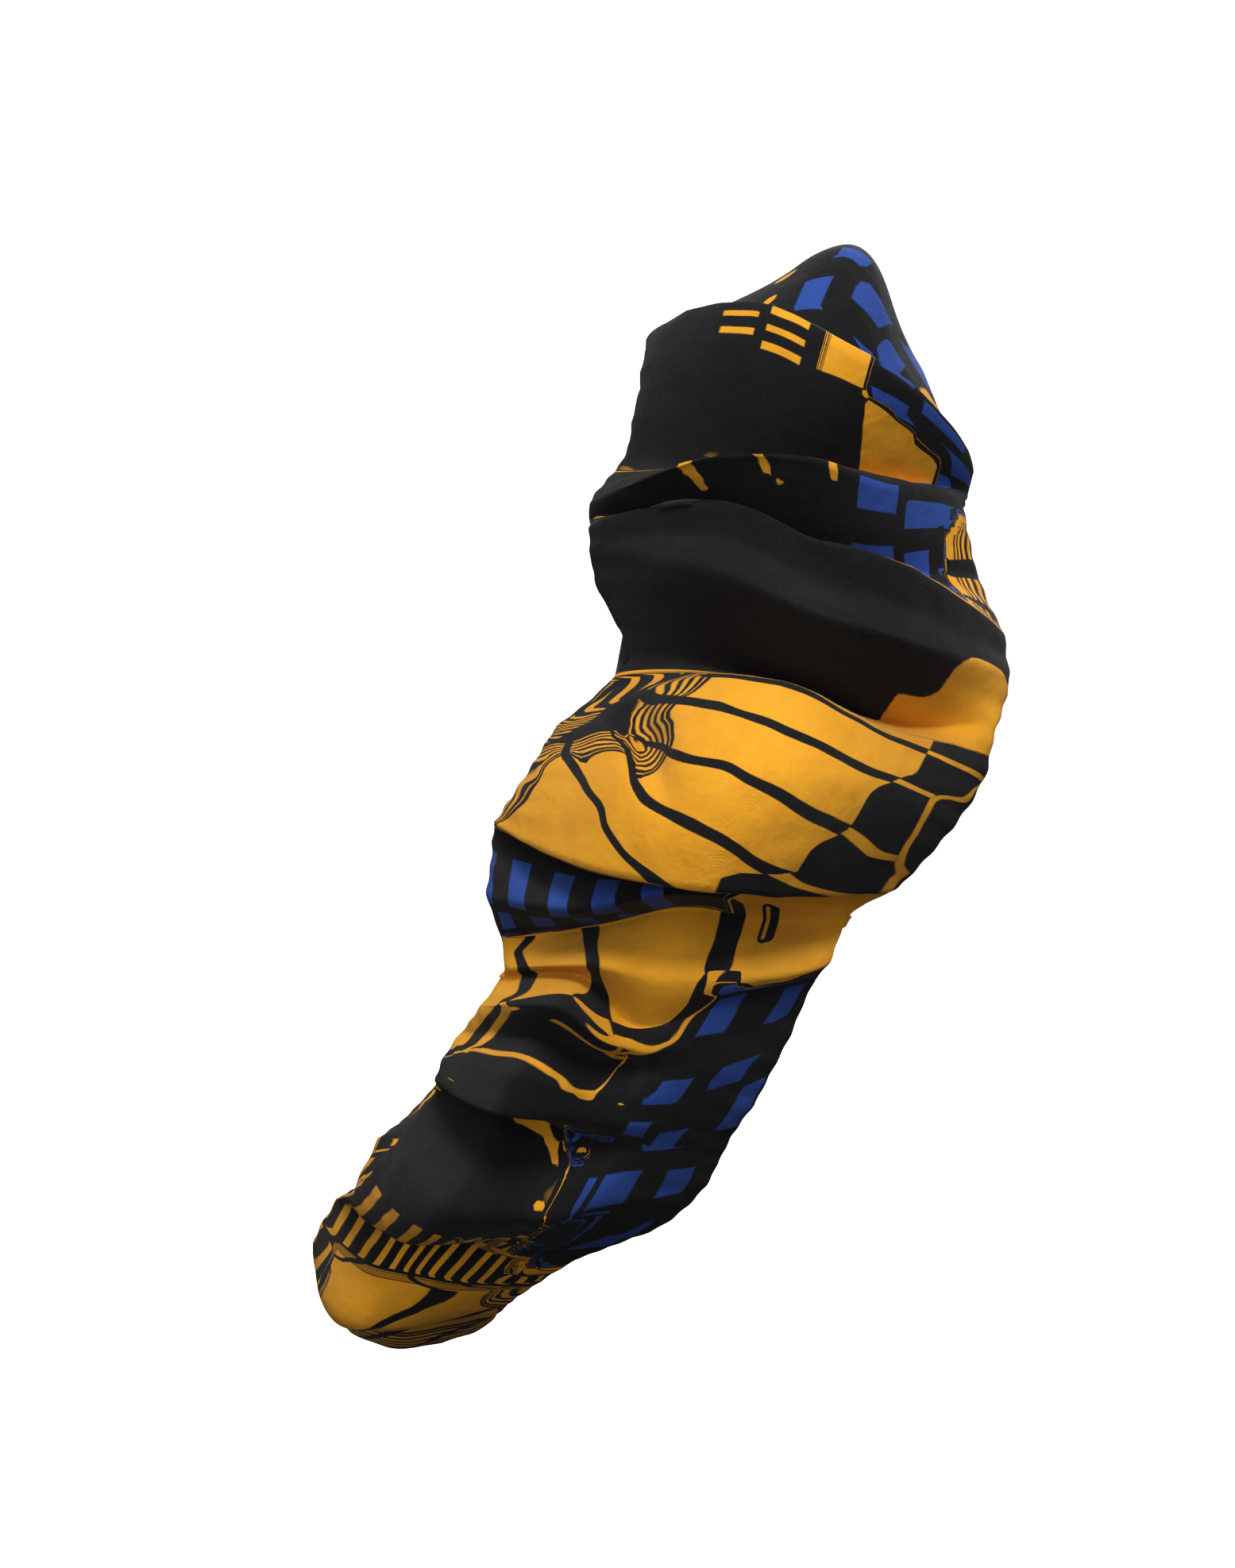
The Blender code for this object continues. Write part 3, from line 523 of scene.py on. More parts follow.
        (80.2, 20.4, 130), (81, 20.4, 130), (82.5, 90, 37), (90, 122, 49.7), (100, 124, 57)),
    26.3: ticks_along(174.5, 170.5),
    26.44: ticks_along(170, 168),
    26.52: ((0, 5, 166.5), (12, 12, 166), (13, 12, 150), (20, 22, 150), (50, 36, 150), (66, 41, 150),
        (80, 44, 152), (85, 46, 160), (100, 48, 164)),
    26.6: ((0, 6, 174), (12, 14, 171), (14, 22, 150), (50, 36, 150), (66, 41, 150), (80, 44, 153),
        (85, 46, 160), (100, 48, 164)),
    27: ((0, 6, 178), (14, 18, 170), (18, 26, 150), (30, 30, 145), (45, 40, 140), (75, 56, 145),
        (92, 62, 153), (100, 64, 158)),
    27.2: ((0, 8, 170), (12, 18, 160), (30, 36, 145), (50, 50, 139), (78, 63, 145), (94, 69, 153),
        (100, 72, 157)),
    27.4: ((0, 24, 150), (30, 40, 140), (50, 54, 138), (80, 70, 146), (95, 76, 153), (100, 78, 156)),
    27.8: ((0, 36, 150), (50, 66, 140), (100, 92, 154)),
    28.3: ((0, 48, 154), (50, 78, 153), (100, 106, 156)),
    28.7: ((0, 60, 170), (50, 90, 165), (100, 118, 162)),
    28.99: ((0, 70, 178), (50, 100, 175), (100, 128, 170)),
    29.5: ((0, 90, 160), (50, 110, 155), (100, 138, 150)),
}


def smooth_through(padded: np.ndarray, steps: Sequence[int], sharp: np.ndarray | None = None) -> np.ndarray:
    """Centripetal Catmull-Rom curves from the second row of points to the last but one.

    Args:
        padded: The rows of points, with one more before the first span and one more after the last.
        steps: How many steps each span is cut into.
        sharp: How sharp the curves turn at each of the rows, from 0 for smooth to 1 for straight up to it.

    Returns:
        The points of all the spans in order, without the last row.
    """
    gaps = np.sqrt(np.linalg.norm(np.diff(padded, axis=0), axis=-1)) + 1e-6
    sharp = np.zeros(len(padded)) if sharp is None else sharp
    made = []
    for i, count in enumerate(steps):
        p0, p1, p2, p3 = padded[i : i + 4]
        t1 = gaps[i][..., None]
        t2 = t1 + gaps[i + 1][..., None]
        t3 = t2 + gaps[i + 2][..., None]
        for k in range(count):
            t = t1 + (t2 - t1) * k / count
            a1 = (t1 - t) / t1 * p0 + t / t1 * p1
            a2 = (t2 - t) / (t2 - t1) * p1 + (t - t1) / (t2 - t1) * p2
            a3 = (t3 - t) / (t3 - t2) * p2 + (t - t2) / (t3 - t2) * p3
            b1 = (t2 - t) / t2 * a1 + t / t2 * a2
            b2 = (t3 - t) / (t3 - t1) * a2 + (t - t1) / (t3 - t1) * a3
            curve = (t2 - t) / (t2 - t1) * b1 + (t - t1) / (t2 - t1) * b2
            made.append(curve + (sharp[i + 1] + (sharp[i + 2] - sharp[i + 1]) * k / count) * (a2 - curve))
    return np.array(made)


def steady(knots: np.ndarray, values: np.ndarray, at: np.ndarray) -> np.ndarray:
    """A smooth curve through the values that never swings past them.

    Args:
        knots: Where the values are known, rising.
        values: The known values, one row for each knot.
        at: Where the curve is wanted; past the ends it stays at the end values.

    Returns:
        A row for each place in at.
    """
    span = np.diff(knots)[:, None]
    slope = np.diff(values, axis=0) / span
    before, after = slope[:-1], slope[1:]
    weight_before = 2 * span[1:] + span[:-1]
    weight_after = span[1:] + 2 * span[:-1]
    same_way = before * after > 0
    safe_before = np.where(same_way, before, 1.0)
    safe_after = np.where(same_way, after, 1.0)
    middle = (weight_before + weight_after) / (weight_before / safe_before + weight_after / safe_after)
    tangent = np.concatenate([slope[:1], np.where(same_way, middle, 0.0), slope[-1:]])
    place = np.clip(np.searchsorted(knots, at, "right") - 1, 0, len(knots) - 2)
    step = span[place]
    t = np.clip((at - knots[place])[:, None] / step, 0.0, 1.0)
    start, end = values[place], values[place + 1]
    rise_start, rise_end = tangent[place] * step, tangent[place + 1] * step
    return (
        (2 * t**3 - 3 * t**2 + 1) * start
        + (t**3 - 2 * t**2 + t) * rise_start
        + (3 * t**2 - 2 * t**3) * end
        + (t**3 - t**2) * rise_end
    )


def cloud(points: np.ndarray, size: float, seed: int) -> np.ndarray:
    """Smooth noise from -1 to 1 in space.

    Args:
        points: The points in millimetres, in the last axis.
        size: How far apart the humps are, in millimetres.
        seed: The fixed seed of the noise.

    Returns:
        A value for each point.
    """
    count, offset = 32, 7.0
    lattice = np.random.default_rng(seed).uniform(-1.0, 1.0, (count, count, count))
    scaled = points / size + offset
    base = np.floor(scaled).astype(int)
    part = scaled - base
    part = part * part * (3 - 2 * part)
    total = np.zeros(points.shape[:-1])
    for corner in np.ndindex(2, 2, 2):
        index = np.mod(base + corner, count)
        weight = np.prod(np.where(corner, part, 1 - part), axis=-1)
        total += weight * lattice[index[..., 0], index[..., 1], index[..., 2]]
    return total


def grid_normals(points: np.ndarray) -> np.ndarray:
    """The directions out of a closed grid of points.

    Args:
        points: Stations by columns of points; the last station joins the first.

    Returns:
        A direction of length 1 for each point, away from the head.
    """
    along = np.roll(points, -1, axis=0) - np.roll(points, 1, axis=0)
    across = np.gradient(points, axis=1)
    normal = np.cross(along, across)
    return normal / np.maximum(np.linalg.norm(normal, axis=-1, keepdims=True), 1e-9)


def looped_mesh(name: str, points: np.ndarray, maps: dict[str, np.ndarray]) -> bpy.types.Mesh:
    """An open sheet that joins end to end round the head.

    Args:
        name: The mesh's name.
        points: Stations by columns of points in millimetres.
        maps: UV maps in millimetres, with one station more than points, which stands for the first one again.

    Returns:
        The mesh, in metres, smooth shaded, its faces towards the outside.
    """
    stations, columns = points.shape[:2]
    first = np.arange(stations)[:, None]
    column = np.arange(columns - 1)[None, :]
    following = (first + 1) % stations
    corners = [first * columns + column, following * columns + column]
    faces = np.stack([corners[0], corners[1], corners[1] + 1, corners[0] + 1], axis=-1).reshape(-1, 4)
    mesh = bpy.data.meshes.new(name)
    mesh.from_pydata((points.reshape(-1, 3) * MM).tolist(), [], faces.tolist())
    for title, values in maps.items():
        spots = np.stack([values[:-1, :-1], values[1:, :-1], values[1:, 1:], values[:-1, 1:]], axis=2)
        layer = mesh.uv_layers.new(name=title)
        layer.data.foreach_set("uv", (spots.reshape(-1) * UV_UNIT).astype(np.float32))
    mesh.shade_smooth()
    return mesh


def arc_map(points: np.ndarray) -> np.ndarray:
    """How far each point lies along the cloth and across it.

    Args:
        points: Stations by columns of points in millimetres.

    Returns:
        Both lengths in millimetres, with the first station again at the end.
    """
    closed = np.concatenate([points, points[:1]])
    along_steps = np.linalg.norm(np.diff(closed, axis=0), axis=-1)
    across_steps = np.linalg.norm(np.diff(closed, axis=1), axis=-1)
    along = np.concatenate([np.zeros((1, points.shape[1])), np.cumsum(along_steps, axis=0)])
    across = np.concatenate([np.zeros((len(closed), 1)), np.cumsum(across_steps, axis=1)], axis=1)
    return np.stack([along, across], axis=-1)


def baked(source: bpy.types.Object, name: str) -> bpy.types.Object:
    """Turns an object into a plain mesh as its modifiers leave it.

    Args:
        source: The object, which is removed.
        name: The name of the new object and its mesh.

    Returns:
        The plain object.
    """
    bpy.context.view_layer.update()
    evaluated = source.evaluated_get(bpy.context.evaluated_depsgraph_get())
    mesh = bpy.data.meshes.new_from_object(evaluated)
    made = bpy.data.objects.new(name, mesh)
    bpy.context.scene.collection.objects.link(made)
    bpy.data.objects.remove(source, do_unlink=True)
    mesh.name = name
    return made


def thickened(name: str, mesh: bpy.types.Mesh, wall: float) -> bpy.types.Object:
    """The sheet given a wall towards the head, as a plain mesh object.

    Args:
        name: The object's name.
        mesh: The open sheet.
        wall: How thick it gets, in millimetres.

    Returns:
        The finished object.
    """
    sheet = bpy.data.objects.new(name + "_sheet", mesh)
    bpy.context.scene.collection.objects.link(sheet)
    solid = sheet.modifiers.new("wall", "SOLIDIFY")
    solid.thickness = wall * MM
    solid.offset = -1.0
    return baked(sheet, name)


@dataclass
class HeadRing:
    """The closed line that the middle of the band follows on the hair, and the ways along and across it."""

    length: float = 252.0
    width: float = 176.0
    lean: float = math.radians(68.0)
    side_bulge: float = 22.0
    curve_radius: float = 110.0
    samples: int = 1440
    up_slope: np.ndarray = field(init=False)
    facewards: np.ndarray = field(init=False)
    turn: np.ndarray = field(init=False)
    along: np.ndarray = field(init=False)
    round: float = field(init=False)

    def __post_init__(self) -> None:
        """Measures the ring."""
        self.up_slope = np.array([0.0, -math.cos(self.lean), math.sin(self.lean)])
        self.facewards = np.array([0.0, -math.sin(self.lean), -math.cos(self.lean)])
        self.turn = np.linspace(0.0, 2 * math.pi, self.samples + 1)
        spans = np.linalg.norm(np.diff(self.line(self.turn), axis=0), axis=1)
        self.along = np.concatenate([[0.0], np.cumsum(spans)])
        self.round = float(self.along[-1])

    def line(self, turn: np.ndarray) -> np.ndarray:
        """The ring's point at each turn.

        Args:
            turn: Radians from the top centre.

        Returns:
            The points in millimetres.
        """
        turn = np.asarray(turn, float)[..., None]
        return (
            self.length / 2 * np.cos(turn) * self.up_slope
            + self.width / 2 * np.sin(turn) * np.array([-1.0, 0.0, 0.0])
            + self.side_bulge * np.sin(turn) ** 2 * self.facewards
        )

    def place(self, along: np.ndarray, across: np.ndarray, height: np.ndarray) -> np.ndarray:
        """The points that lie so far along, across and above the ring.

        Args:
            along: Millimetres along the ring from the top centre.
            across: Millimetres across the band, positive towards the face.
            height: Millimetres above the hair.

        Returns:
            The points in millimetres.
        """
        turn = np.interp(np.mod(along, self.round), self.along, self.turn)
        small = 1e-4
        tangent = self.line(turn + small) - self.line(turn - small)
        tangent /= np.linalg.norm(tangent, axis=-1, keepdims=True)
        column = turn[..., None]
        outward = np.cos(column) / self.length * self.up_slope
        outward = outward + np.sin(column) / self.width * np.array([-1.0, 0.0, 0.0])
        outward -= (outward * tangent).sum(-1, keepdims=True) * tangent
        outward /= np.linalg.norm(outward, axis=-1, keepdims=True)
        sideways = np.cross(outward, tangent)
        rise = height - across**2 / (2 * self.curve_radius)
        return self.line(turn) + sideways * across[..., None] + outward * rise[..., None]


class Wiring:
    """Makes the nodes of one tree and joins them up."""

    one_sided = ("FRACT", "ABSOLUTE", "SINE", "SQRT")

    def __init__(self, tree: bpy.types.NodeTree) -> None:
        """Starts on the tree as it stands."""
        self.tree = tree

    def feed(self, socket: Socket, signal: Given) -> None:
        """Joins a signal to a socket, or sets it there if it is a plain value.

        Args:
            socket: The input to be fed.
            signal: What it is given.
        """
        if isinstance(signal, Socket):
            self.tree.links.new(signal, socket)
        else:
            socket.default_value = signal

    def add(
        self, kind: str, inputs: dict[int | str, Given] | None = None, **settings: str | bool
    ) -> bpy.types.Node:
        """Adds a node to the tree.

        Args:
            kind: The node's type.
            inputs: What is joined to its inputs or set there, by their names or numbers.
            **settings: The node's own settings.

        Returns:
            The node.
        """
        node = self.tree.nodes.new(kind)
        for name, value in settings.items():
            setattr(node, name, value)
        for key, signal in (inputs or {}).items():
            self.feed(node.inputs[key], signal)
        return node

    def math(self, operation: str, first: Signal, second: Signal = 0.0, clamp: bool = False) -> Socket:
        """The result of one sum on one or two signals."""
        inputs = {0: first} if operation in self.one_sided else {0: first, 1: second}
        return self.add("ShaderNodeMath", inputs, operation=operation, use_clamp=clamp).outputs[0]

    def largest(self, *signals: Signal) -> Socket:
        """The largest of the signals.

        Args:
            *signals: Two or more signals.

        Returns:
            The largest.
        """
        best = signals[0]
        for signal in signals[1:]:
            best = self.math("MAXIMUM", best, signal)
        return best

    def product(self, *signals: Signal) -> Socket:
        """All the signals multiplied.

        Args:
            *signals: Two or more signals.

        Returns:
            Their product.
        """
        total = signals[0]
        for signal in signals[1:]:
            total = self.math("MULTIPLY", total, signal)
        return total

    def above(self, value: Signal, edge: Signal, blur: float) -> Socket:
        """A step that rises at an edge.

        Args:
            value: The value that is looked at.
            edge: Where the step is.
            blur: How far it is soft on each side.

        Returns:
            1 where the value is above the edge and 0 where it is below.
        """
        past = self.math("SUBTRACT", value, edge)
        scaled = self.math("MULTIPLY", past, 0.5 / blur)
        return self.math("ADD", scaled, 0.5, clamp=True)

    def below(self, value: Signal, edge: Signal, blur: float) -> Socket:
        """1 where the value is below the edge and 0 where it is above."""
        return self.above(self.math("MULTIPLY", value, -1.0), self.math("MULTIPLY", edge, -1.0), blur)

    def between(self, value: Signal, low: Signal, high: Signal, blur: float) -> Socket:
        """1 where the value is from low to high."""
        return self.product(self.above(value, low, blur), self.below(value, high, blur))

    def from_nearest(self, value: Signal, pitch: float, shift: float = 0.0) -> Socket:
        """How far, with its sign, the value is from the nearest whole number of pitches."""
        share = self.math("ADD", self.math("MULTIPLY", value, 1 / pitch), 0.5 - shift / pitch)
        return self.math("MULTIPLY", self.math("SUBTRACT", self.math("FRACT", share), 0.5), pitch)

    def near_nearest(
        self, value: Signal, pitch: float, half: float, blur: float, shift: float = 0.0
    ) -> Socket:
        """1 where the value is within half of a whole number of pitches, counted from the shift."""
        return self.below(self.math("ABSOLUTE", self.from_nearest(value, pitch, shift)), half, blur)

    def uv(self, name: str) -> tuple[Socket, Socket]:
        """The two sides of a UV map.

        Args:
            name: The map's name.

        Returns:
            Both sides in millimetres.
        """
        spot = self.add("ShaderNodeUVMap", uv_map=name).outputs[0]
        apart = self.add("ShaderNodeSeparateXYZ", {0: spot}).outputs
        return self.math("MULTIPLY", apart[0], 1 / UV_UNIT), self.math("MULTIPLY", apart[1], 1 / UV_UNIT)

    def noise(self, grain: Grain) -> Socket:
        """Noise from 0 to 1 in the object's own space."""
        place = self.add("ShaderNodeTexCoord").outputs["Object"]
        inputs = {"Vector": place, "Scale": grain.scale, "Detail": grain.detail, "Roughness": grain.roughness}
        return self.add("ShaderNodeTexNoise", inputs).outputs["Fac"]

    def colour(self, share: Signal, first: Given, second: Given) -> Socket:
        """The first colour turning to the second as share goes from 0 to 1."""
        return self.add("ShaderNodeMix", {"Factor": share, 6: first, 7: second}, data_type="RGBA").outputs[2]

    def bump(self, height: Signal, distance: float, onto: Signal | None = None) -> Socket:
        """A bumped normal.

        Args:
            height: The height, from 0 to 1.
            distance: How many metres a height of 1 is.
            onto: The normal that it is added to.

        Returns:
            The normal.
        """
        inputs = {"Distance": distance, "Height": height}
        if onto is not None:
            inputs["Normal"] = onto
        return self.add("ShaderNodeBump", inputs).outputs[0]

    def weave(self, along: Signal, across: Signal, pitch: float) -> Socket:
        """The height of a plain weave.

        Args:
            along: Millimetres along the cloth.
            across: Millimetres across it.
            pitch: How far two threads up are apart, in millimetres.

        Returns:
            A signal from 0 to 1.
        """
        first = self.math("SINE", self.math("MULTIPLY", along, 2 * math.pi / pitch))
        second = self.math("SINE", self.math("MULTIPLY", across, 2 * math.pi / pitch))
        return self.math("ADD", self.math("MULTIPLY", self.math("MULTIPLY", first, second), 0.5), 0.5)

    def dress(self, colour: Given, normal: Signal, roughness: float, specular: float, sheen: float) -> None:
        """Gives the shader its colour, its normal and the way it shines.

        Args:
            colour: The base colour.
            normal: The bumped normal.
            roughness: The shader's roughness.
            specular: How strongly it mirrors, 0.5 being that of common plastics.
            sheen: How much light the fluff on the cloth throws back.
        """
        shader = self.tree.nodes["Principled BSDF"]
        values = {
            "Base Color": colour,
            "Normal": normal,
            "Roughness": roughness,
            "Specular IOR Level": specular,
            "Sheen Weight": sheen,
            "Sheen Roughness": 0.5,
        }
        for name, value in values.items():
            self.feed(shader.inputs[name], value)


def painted(name: str) -> tuple[bpy.types.Material, Wiring]:
    """A new material.

    Args:
        name: Its name.

    Returns:
        The material and the wiring of its nodes.
    """
    made = bpy.data.materials.new(name)
    made.use_nodes = True
    return made, Wiring(made.node_tree)


class BlockRow(NamedTuple):
    """A ring of blue blocks: its middle and half depth, and the blocks' pitch, half width and shift."""

    middle: float
    half_out: float
    pitch: float
    half_round: float
    shift: float


@dataclass(frozen=True)
class WaxPrint:
    """Matt cotton with a printed roundel.

    From its middle outwards the roundel has a plain black ground with a ring of dots, three rings of blue
    blocks, a thin golden ring, black blocks with golden strips, golden bars between black spokes, fine rings
    and two rings of ticks. Lengths are in millimetres, round the roundel or from its middle.
    """

    name: str = "wax_print_cotton"
    spoke_pitch: float = 20.0
    spoke_half: float = 1.7
    strip_half: float = 1.1
    dot_radius: float = 31.5
    dot_pitch: float = 14.0
    dot_half: float = 1.35
    ring_low: float = 76.0
    ring_high: float = 77.4
    block_end: float = 93.0
    bar_end: float = 153.0
    fine_start: float = 154.2
    fine_end: float = 165.0
    fine_pitch: float = 2.2
    tick_low: float = 168.0
    tick_high: float = 178.0
    tick_far_low: float = 181.0
    tick_far_high: float = 190.0
    tick_pitch: float = 6.2
    tick_half: float = 1.2
    tick_far_half: float = 1.02
    block_rows: tuple[BlockRow, ...] = (
        BlockRow(42.0, 3.2, 15.0, 2.6, 3.0),
        BlockRow(54.0, 4.3, 17.0, 4.0, 11.0),
        BlockRow(67.5, 6.0, 18.5, 4.2, 2.0),
    )
    edge_blur: float = 0.16
    turn_drift: float = 1.3
    turn_wander: Grain = Grain(90.0, 1.0)
    radius_drift: float = 1.0
    radius_wander: Grain = Grain(75.0, 1.0)
    mottle: Grain = Grain(38.0, 5.0, 0.62)
    fibres: Grain = Grain(900.0, 2.0, 0.6)
    worn_gain: float = 1.8
    gold_low: float = 0.36
    gold_high: float = 0.64
    gold_blur: float = 0.16
    black: Colour = (0.0055, 0.0055, 0.0062, 1.0)
    black_worn: Colour = (0.0125, 0.0125, 0.0138, 1.0)
    blue: Colour = (0.017, 0.050, 0.25, 1.0)
    blue_worn: Colour = (0.032, 0.085, 0.36, 1.0)
    gold: Colour = (0.80, 0.36, 0.022, 1.0)
    gold_deep: Colour = (0.68, 0.28, 0.013, 1.0)
    roughness: float = 0.82
    specular: float = 0.1
    sheen: float = 0.05
    crumple: Grain = Grain(110.0, 3.0, 0.55)
    crumple_height: float = 0.0011
    weave_pitch: float = 0.62
    weave_height: float = 0.00007

    def golden(self, w: Wiring, turn: Signal, radius: Signal) -> Signal:
        """Where the print is golden.

        Args:
            w: The wiring of the material.
            turn: Millimetres round the roundel.
            radius: Millimetres from its middle.

        Returns:
            1 on the golden shapes and 0 elsewhere.
        """
        blur = self.edge_blur
        across_spoke = w.math("ABSOLUTE", w.from_nearest(turn, self.spoke_pitch))
        off_spoke = w.above(across_spoke, self.spoke_half, blur)
        past_block = w.above(radius, self.block_end, blur)
        bars = w.product(past_block, w.below(radius, self.bar_end, blur), off_spoke)
        in_block = w.product(w.above(radius, self.ring_high, blur), w.below(radius, self.block_end, blur))
        strips = w.product(in_block, w.below(across_spoke, self.strip_half, blur))
        ring = w.between(radius, self.ring_low, self.ring_high, blur)
        fine = w.product(
            w.between(radius, self.fine_start, self.fine_end, blur),
            w.near_nearest(radius, self.fine_pitch, self.fine_pitch / 4, blur),
            off_spoke,
        )
        ticks = w.product(
            w.between(radius, self.tick_low, self.tick_high, blur),
            w.near_nearest(turn, self.tick_pitch, self.tick_half, blur),
        )
        far_ticks = w.product(
            w.between(radius, self.tick_far_low, self.tick_far_high, blur),
            w.near_nearest(turn, self.tick_pitch, self.tick_far_half, blur, self.tick_pitch / 2),
        )
        dot_along = w.from_nearest(turn, self.dot_pitch)
        dot_out = w.math("SUBTRACT", radius, self.dot_radius)
        dot_far = w.math("ADD", w.product(dot_along, dot_along), w.product(dot_out, dot_out))
        dots = w.below(w.math("SQRT", dot_far), self.dot_half, blur)
        return w.largest(bars, strips, ring, fine, ticks, far_ticks, dots)

    def blocks(self, w: Wiring, turn: Signal, radius: Signal) -> Signal:
        """Where the print is blue: three rows of blocks between the dots and the ring.

        Args:
            w: The wiring of the material.
            turn: Millimetres round the roundel.
            radius: Millimetres from its middle.

        Returns:
            1 on the blue blocks and 0 elsewhere.
        """
        blur = self.edge_blur
        made = []
        for row in self.block_rows:
            out = w.between(radius, row.middle - row.half_out, row.middle + row.half_out, blur)
            made.append(w.product(out, w.near_nearest(turn, row.pitch, row.half_round, blur, row.shift)))
        return w.largest(*made)

    def material(self) -> bpy.types.Material:
        """Makes the material.

        Returns:
            The finished material.
        """
        made, w = painted(self.name)
        turn, radius = w.uv("print")
        along, across = w.uv("weave")
        drift = w.math("SUBTRACT", w.noise(self.turn_wander), 0.5)
        turn = w.math("ADD", turn, w.math("MULTIPLY", drift, self.turn_drift))
        drift = w.math("SUBTRACT", w.noise(self.radius_wander), 0.5)
        radius = w.math("ADD", radius, w.math("MULTIPLY", drift, self.radius_drift))
        mottle = w.noise(self.mottle)
        fibres = w.noise(self.fibres)
        ground = w.colour(w.product(mottle, fibres, self.worn_gain), self.black, self.black_worn)
        blue = w.colour(mottle, self.blue, self.blue_worn)
        bright = w.between(mottle, self.gold_low, self.gold_high, self.gold_blur)
        gold = w.colour(bright, self.gold_deep, self.gold)
        colour = w.colour(self.blocks(w, turn, radius), ground, blue)
        colour = w.colour(self.golden(w, turn, radius), colour, gold)
        crumple = w.bump(w.noise(self.crumple), self.crumple_height)
        threads = w.bump(w.weave(along, across, self.weave_pitch), self.weave_height, crumple)
        w.dress(colour, threads, self.roughness, self.specular, self.sheen)
        return made


@dataclass(frozen=True)
class PlainCotton:
    """Plain dyed cotton with a fine weave."""

    name: str = "band_cotton_black"
    colour: Colour = (0.014, 0.014, 0.016, 1.0)
    worn: Colour = (0.030, 0.030, 0.033, 1.0)
    mottle: Grain = Grain(60.0, 5.0, 0.65)
    roughness: float = 0.88
    specular: float = 0.25
    sheen: float = 0.15
    crumple: Grain = Grain(240.0, 3.0, 0.6)
    crumple_height: float = 0.0006
    weave_pitch: float = 0.7
    weave_height: float = 0.0001

    def material(self) -> bpy.types.Material:
        """Makes the material.

        Returns:
            The finished material.
        """
        made, w = painted(self.name)
        along, across = w.uv("weave")
        shade = w.colour(w.noise(self.mottle), self.colour, self.worn)
        crumple = w.bump(w.noise(self.crumple), self.crumple_height)
        threads = w.bump(w.weave(along, across, self.weave_pitch), self.weave_height, crumple)
        w.dress(shade, threads, self.roughness, self.specular, self.sheen)
        return made


